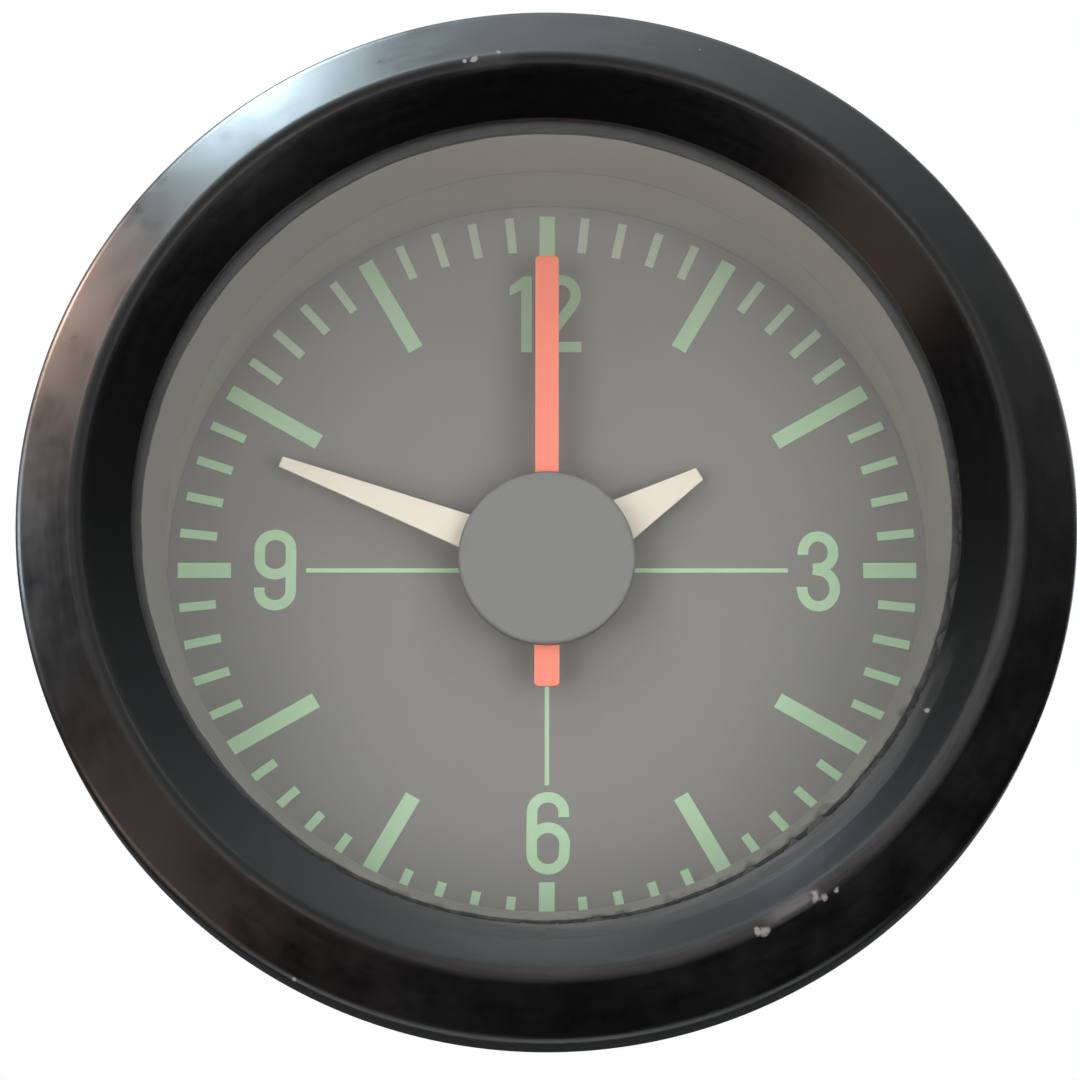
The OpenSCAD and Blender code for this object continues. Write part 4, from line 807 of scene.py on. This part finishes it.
class CLOCK_OT_rear(bpy.types.Operator):
    """Finishes the knob, lamp holder, terminals and studs on the back, and cuts the studs' threads"""

    bl_idname = "clock.rear"
    bl_label = "Rear fittings"

    def execute(self, context):
        sizes = context.scene.clock_sizes
        zinc = zinc_plate()
        # compression-moulded plastic: black with a soft sheen
        moulded = finish("black_moulded_plastic", "#151516", "#1c1c1d", 0.5, 0.08, 5.0, 0.3, 0.01)
        # phenolic resin block: brown, with the flow marks of pressing
        resin = finish("brown_phenolic_resin", "#4a3126", "#3c271e", 0.4, 0.1, 3.0, 0.4, 0.008)
        # tinned brass strip: pale yellow-grey and wiped by push-on plugs along its length
        tinned = finish("tinned_brass", "#c9bd8c", "#b3a878", 0.35, 0.12, 2.0, 0.15, 0.004, metallic=1.0,
                        stretch=(1, 0.1, 1))
        for node, body, slot, mat, share, merge in (
                ("setting_knob", "knob_and_stem", "knob_black", moulded, 1.2, False),
                ("lamp_holder", "case", "knob_black", moulded, 2.0, False),
                ("terminal_block", "case", "block_brown", resin, 1.5, False),
                ("terminal_blades", "case", "tinned_brass", tinned, 0.8, True),
                ("stud_washers", "case", "steel", zinc, 0.8, False),
                ("stud_nuts", "case", "steel", zinc, 1.0, False)):
            seat(finished(node, share, merge=merge), body, slot, mat, node)
        studs = threaded_studs(sizes)
        seat(studs, "case", "steel", zinc, "mounting_studs")
        return {"FINISHED"}


def threaded_studs(sizes):
    """Both studs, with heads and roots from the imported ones, and a rolled thread round a thinner core."""
    low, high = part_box("mounting_studs")
    corners = [v.co for v in NODES["mounting_studs"].data.vertices if v.co.x > 0]
    centre = (min(c.x for c in corners) + max(c.x for c in corners)) / 2
    rings = sorted({(round(math.hypot(c.x - centre, c.z) / MM, 2), round(-c.y / MM, 2)) for c in corners})
    head, thread = rings[-1][0], rings[0][0]
    root = sorted({r for r, h in rings})[-2]
    under_head = min(h for r, h in rings if r == head)
    shoulder = min(h for r, h in rings if r == root)
    tip, top = -high.y / MM, -low.y / MM
    pitch, depth = sizes.thread_pitch / MM, sizes.thread_depth / MM
    core, point = thread - depth, 0.3
    stud = turned("stud_core", [(0, top), (head, top), (head, under_head), (root, under_head),
                                (root, shoulder), (core, shoulder), (core, tip + point), (core - point, tip),
                                (0, tip)], 48)
    # a closed ridge with a flat crest, wound round the core and sunk a little into it
    start = tip + point + pitch / 2
    turns = int((shoulder - start) / pitch)
    sunk, half_foot, half_crest = core - 0.06, 0.44 * pitch, 0.08 * pitch
    ridge = outlined("stud_ridge", [(sunk, start - half_foot), (thread, start - half_crest),
                                    (thread, start + half_crest), (sunk, start + half_foot)])
    settle()
    wound(ridge, pitch * MM, turns, steps=32)
    smooth(35)
    stud.select_set(True)
    bpy.context.view_layer.objects.active = stud
    bpy.ops.object.join()
    bpy.ops.object.duplicate()
    twin = bpy.context.object
    for piece, side in ((stud, -1), (twin, 1)):
        piece.location.x = side * centre
    stud.select_set(True)
    bpy.context.view_layer.objects.active = stud
    bpy.ops.object.join()
    stud.name = stud.data.name = "threaded_studs"
    apply_place()
    return stud


# The setting knob's return spring: radius of its wire in millimetres, its turns, and how far the knob goes in
SPRING_WIRE, SPRING_TURNS, PUSH_TRAVEL = 0.2, 6, 1.8


def coil_spring():
    """The setting knob's return spring: a round section wound from the washer up to the board."""
    low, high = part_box("return_spring")
    wire = SPRING_WIRE * MM
    bpy.ops.object.select_all(action="DESELECT")
    bpy.ops.mesh.primitive_circle_add(vertices=10, radius=wire, location=((high.x - low.x) / 2 - wire, 0, 0))
    spring = bpy.context.object
    spring.name = spring.data.name = "coil_spring"
    apply_place()
    wound(spring, (high.y - low.y - 2 * wire) / SPRING_TURNS, SPRING_TURNS, steps=28)
    spring.location = (0, high.y - wire, (low.z + high.z) / 2)
    apply_place()
    smooth(40)
    return spring


class CLOCK_OT_movement(bpy.types.Operator):
    """Finishes the quartz movement and the train inside the housing, and winds the knob's return spring"""

    bl_idname = "clock.movement"
    bl_label = "Movement"

    def execute(self, context):
        # stamped and brushed brass: straight fine lines in a warm yellow metal
        brass = finish("brushed_brass", "#d3b063", "#c29d50", 0.32, 0.1, 4.0, 0.2, 0.004, metallic=1.0,
                       stretch=(0.08, 1, 1))
        # ground and polished steel: a bright, nearly smooth grey metal
        steel = finish("polished_steel", "#b9bcc0", "#a8abb0", 0.18, 0.06, 2.0, 0.1, 0.002, metallic=1.0)
        # stamped silicon steel: a darker and duller grey with a rolled grain
        sheet = finish("silicon_steel_sheet", "#8d9094", "#7e8185", 0.45, 0.1, 3.0, 0.2, 0.005, metallic=1.0)
        # nylon moulded without dye: creamy white with a soft sheen
        nylon = finish("natural_nylon", "#e8e4d8", "#ded9ca", 0.5, 0.06, 5.0, 0.3, 0.006)
        # moulded plastic plate: off-white, even and satin
        plate = finish("moulded_plate_plastic", "#d9d6ca", "#cfccbf", 0.5, 0.06, 8.0, 0.3, 0.006)
        # sintered magnet: dark, fine-grained and dull
        magnet = finish("sintered_magnet", "#45464a", "#3a3b3f", 0.6, 0.1, 1.0, 0.12, 0.01, metallic=0.6)
        # fine enamelled copper wire, wound tight: warm orange, with the ridges of its turns
        copper = finish("enamelled_copper_wire", "#b5622f", "#9c5126", 0.25, 0.08, 0.6, 0.12, 0.03,
                        metallic=1.0, stretch=(0.1, 1, 0.1))
        # glass fibre laminate: green, mottled by its weave
        laminate = finish("glass_fibre_board", "#3f6a45", "#2f5a38", 0.4, 0.1, 2.0, 0.3, 0.01)
        # moulded epoxy: matt and nearly black
        epoxy = finish("moulded_chip_epoxy", "#222326", "#2b2c2f", 0.6, 0.06, 1.5, 0.12, 0.006)
        # plastic sleeve shrunk on: dark blue with a hard gloss
        sleeve = finish("blue_capacitor_sleeve", "#2b3f66", "#243657", 0.25, 0.05, 2.5, 0.3, 0.004, coat=0.3)
        # blown glass: pale and polished
        bulb = finish("clear_bulb_glass", "#e9eef0", "#dfe6e8", 0.08, 0.03, 3.0, 0.5, 0.002, coat=0.5)
        zinc = zinc_plate()
        for mat, nodes in (
                (brass, ("rear_plate", "pillars", "second_wheel", "third_wheel", "centre_wheel",
                         "cannon_pinion", "motion_wheel", "hour_wheel", "stem_bush")),
                (steel, ("second_arbor", "motion_arbor", "quartz_crystal", "setting_stem")),
                (sheet, ("stator", "coil_core")),
                (nylon, ("intermediate_wheel", "rotor_arbor", "coil_bobbin")),
                (plate, ("front_plate",)), (magnet, ("rotor_magnet",)), (copper, ("coil_winding",)),
                (laminate, ("circuit_board",)), (epoxy, ("driver_chip",)), (sleeve, ("capacitor",)),
                (bulb, ("lamp_bulb",)),
                (zinc, ("board_spacers", "rear_spacers", "motor_screws", "stem_clip", "spring_washer"))):
            for node in nodes:
                dress(node, mat)
        spring = coil_spring()
        seat(spring, "case", "arbor_steel", steel, "return_spring")
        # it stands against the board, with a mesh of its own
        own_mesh(spring)
        return {"FINISHED"}


# Each lamp's name, the way to it from the clock, its distance, width and height in metres, its watts and its
# colour. The first lights the bezel's upper left slope from a little behind its plane.
LAMPS = (
    ("window", (-0.44, 0.13, 0.89), 0.7, 0.31, 0.14, 7.6, "#cfe9f5"),
    ("warm_wall", (-0.80, 0.10, 0.56), 0.7, 0.20, 0.14, 3.8, "#ffd8c4"),
    ("left_pane", (-0.96, 0.16, 0.20), 0.7, 0.2, 0.2, 2.3, "#dcebf6"),
    ("low_wall", (-0.85, -0.04, -0.52), 0.7, 0.3, 0.3, 1.0, "#ffdccb"),
    ("right_wall", (0.83, 0.32, 0.44), 0.7, 0.25, 0.25, 0.3, "#ffe6da"),
    ("warm_low", (-0.78, -0.50, -0.38), 0.7, 0.26, 0.26, 0.18, "#ffdccb"),
    ("left_softbox", (-0.42, -0.86, -0.24), 0.7, 0.35, 0.35, 1.38, "#fffbf9"),
    ("right_softbox", (0.42, -0.86, -0.24), 0.7, 0.35, 0.35, 1.38, "#fffbf9"),
    ("upper_left_lamp", (-0.47, -0.65, 0.55), 0.75, 0.22, 0.22, 0.6, "#fffbf9"),
    ("upper_right_lamp", (0.47, -0.65, 0.55), 0.75, 0.22, 0.22, 0.5, "#fffbf9"),
    ("rear_softbox", (0.45, 0.80, 0.35), 0.9, 0.5, 0.5, 2.0, "#ffffff"))
# The camera, fitted to the photograph: lens and sensor in millimetres, shift as a share of the frame's width,
# the point it looks at in millimetres, its distance from that in metres, and its angles below and beside the
# clock's axis in degrees
LENS, SENSOR, SHIFT = 179.67, 36.0, (-0.0204, 0.0204)
AIM, AWAY, BELOW, ASIDE = (0.90, -3.5, -2.65), 0.350, 13.42, -0.04
# The room's brightness at shares of the way from straight down to straight up
ROOM = [(0.0, 0.02), (0.3, 0.03), (0.5, 0.06), (0.62, 0.14), (0.82, 0.4), (0.9, 0.7), (0.95, 1.1), (0.98, 1.4),
        (1.0, 2.6)]
# What multiplies the ramp's colours to that brightness, and their tint: a little less red and more blue
ROOM_STRENGTH, ROOM_TINT = 2.0, (0.93, 1, 1.03)
# Towards the white backdrop, as the camera looks past the clock, and how near that way it starts and is full
BACKDROP, BACKDROP_STARTS, BACKDROP_FULL = (0, 0.973, 0.232), 0.97, 0.995


class CLOCK_OT_stage(bpy.types.Operator):
    """Sets the floor, the room's light, the lamps and the camera"""

    bl_idname = "clock.stage"
    bl_label = "Floor, light and camera"

    def execute(self, context):
        scene = context.scene
        scene.view_settings.view_transform = "Standard"
        bpy.ops.object.select_all(action="DESELECT")
        bpy.ops.mesh.primitive_plane_add(size=1, location=(0, 0.3, -0.6))
        floor = context.object
        floor.name = "pale_floor"
        floor.scale = (1.2, 0.5, 1)
        apply_place()
        # painted board: pale and matt, so that it shows nothing but the shadow
        floor.data.materials.append(finish("pale_matt_floor", "#f2f2f0", "#eeeeec", 0.9, 0.05, 60, 5, 0.01))
        self.room(scene)
        for name, way, away, wide, tall, power, tint in LAMPS:
            at = Vector(way).normalized() * away
            bpy.ops.object.light_add(type="AREA", location=at)
            lamp = context.object
            lamp.name = name
            lamp.data.shape = "RECTANGLE"
            lamp.data.size = wide
            lamp.data.size_y = tall
            lamp.data.energy = power
            lamp.data.color = linear(tint)[:3]
            lamp.rotation_euler = (-at).to_track_quat("-Z", "Y").to_euler()
        bpy.ops.object.camera_add()
        camera = context.object
        camera.name = "rider_view"
        camera.data.sensor_fit = "HORIZONTAL"
        camera.data.sensor_width = SENSOR
        camera.data.lens = LENS
        camera.data.shift_x, camera.data.shift_y = SHIFT
        camera.data.clip_start = 0.01
        below, aside = math.radians(BELOW), math.radians(ASIDE)
        level = math.cos(below)
        back = Vector((level * math.sin(aside), -level * math.cos(aside), -math.sin(below)))
        camera.location = Vector(AIM) * MM + back * AWAY
        camera.rotation_euler = (-back).to_track_quat("-Z", "Y").to_euler()
        scene.camera = camera
        return {"FINISHED"}

    def room(self, scene):
        """The room: a pale ceiling, dark towards the ground, with a white backdrop behind the clock."""
        world = bpy.data.worlds.new("room")
        world.use_nodes = True
        scene.world = world
        tree = world.node_tree
        tree.nodes.clear()
        out = add(tree, "ShaderNodeOutputWorld")
        way = add(tree, "ShaderNodeTexCoord").outputs["Generated"]
        split = add(tree, "ShaderNodeSeparateXYZ", {"Vector": way})
        share = add(tree, "ShaderNodeMapRange", {"Value": split.outputs["Z"], "From Min": -1, "From Max": 1})
        ramp = add(tree, "ShaderNodeValToRGB", {"Fac": share.outputs["Result"]})
        points = ramp.color_ramp.elements
        while len(points) < len(ROOM):
            points.new(0.5)
        for point, (where, level) in zip(points, ROOM):
            point.position = where
            point.color = [level / ROOM_STRENGTH * tint for tint in ROOM_TINT] + [1]
        dim = add(tree, "ShaderNodeBackground", {"Color": ramp.outputs["Color"], "Strength": ROOM_STRENGTH})
        white = add(tree, "ShaderNodeBackground", {"Color": (1, 1, 1, 1), "Strength": 1.0})
        # the camera sees white all round, but metal and glass only mirror it behind the clock
        path = add(tree, "ShaderNodeLightPath")
        past = add(tree, "ShaderNodeVectorMath", {0: way, 1: BACKDROP}, operation="DOT_PRODUCT")
        behind = add(tree, "ShaderNodeMapRange", {
            "Value": past.outputs["Value"], "From Min": BACKDROP_STARTS, "From Max": BACKDROP_FULL})
        seen = add(tree, "ShaderNodeMath", {
            0: path.outputs["Is Glossy Ray"], 1: path.outputs["Is Transmission Ray"]}, operation="MAXIMUM")
        shown = add(tree, "ShaderNodeMath", {
            0: seen.outputs[0], 1: behind.outputs["Result"]}, operation="MULTIPLY")
        either = add(tree, "ShaderNodeMath", {
            0: shown.outputs[0], 1: path.outputs["Is Camera Ray"]}, operation="MAXIMUM")
        mix = add(tree, "ShaderNodeMixShader", {
            0: either.outputs[0], 1: dim.outputs["Background"], 2: white.outputs["Background"]})
        tree.links.new(mix.outputs["Shader"], out.inputs["Surface"])


class CLOCK_PT_panel(bpy.types.Panel):
    """Lists the clock's pieces, sizes and colours"""

    bl_label = "Motorcycle clock"
    bl_idname = "CLOCK_PT_panel"
    bl_space_type = "VIEW_3D"
    bl_region_type = "UI"
    bl_category = "Clock"

    def draw(self, context):
        for step in STEPS:
            self.layout.operator(step.bl_idname)
        for group in (context.scene.clock_sizes, context.scene.clock_colours):
            box = self.layout.box()
            for name in group.__annotations__:
                box.prop(group, name)


STEPS = (CLOCK_OT_bezel, CLOCK_OT_glass, CLOCK_OT_ring, CLOCK_OT_dial, CLOCK_OT_hands, CLOCK_OT_housing,
         CLOCK_OT_rear, CLOCK_OT_movement, CLOCK_OT_stage)
CLASSES = (ClockSizes, ClockColours) + STEPS + (CLOCK_PT_panel,)


def register():
    for cls in CLASSES:
        bpy.utils.register_class(cls)
    bpy.types.Scene.clock_sizes = PointerProperty(type=ClockSizes)
    bpy.types.Scene.clock_colours = PointerProperty(type=ClockColours)


def unregister():
    del bpy.types.Scene.clock_colours
    del bpy.types.Scene.clock_sizes
    for cls in reversed(CLASSES):
        bpy.utils.unregister_class(cls)


def main():
    register()
    for step in STEPS:
        group, name = step.bl_idname.split(".")
        getattr(getattr(bpy.ops, group), name)()


if __name__ == "__main__":
    main()
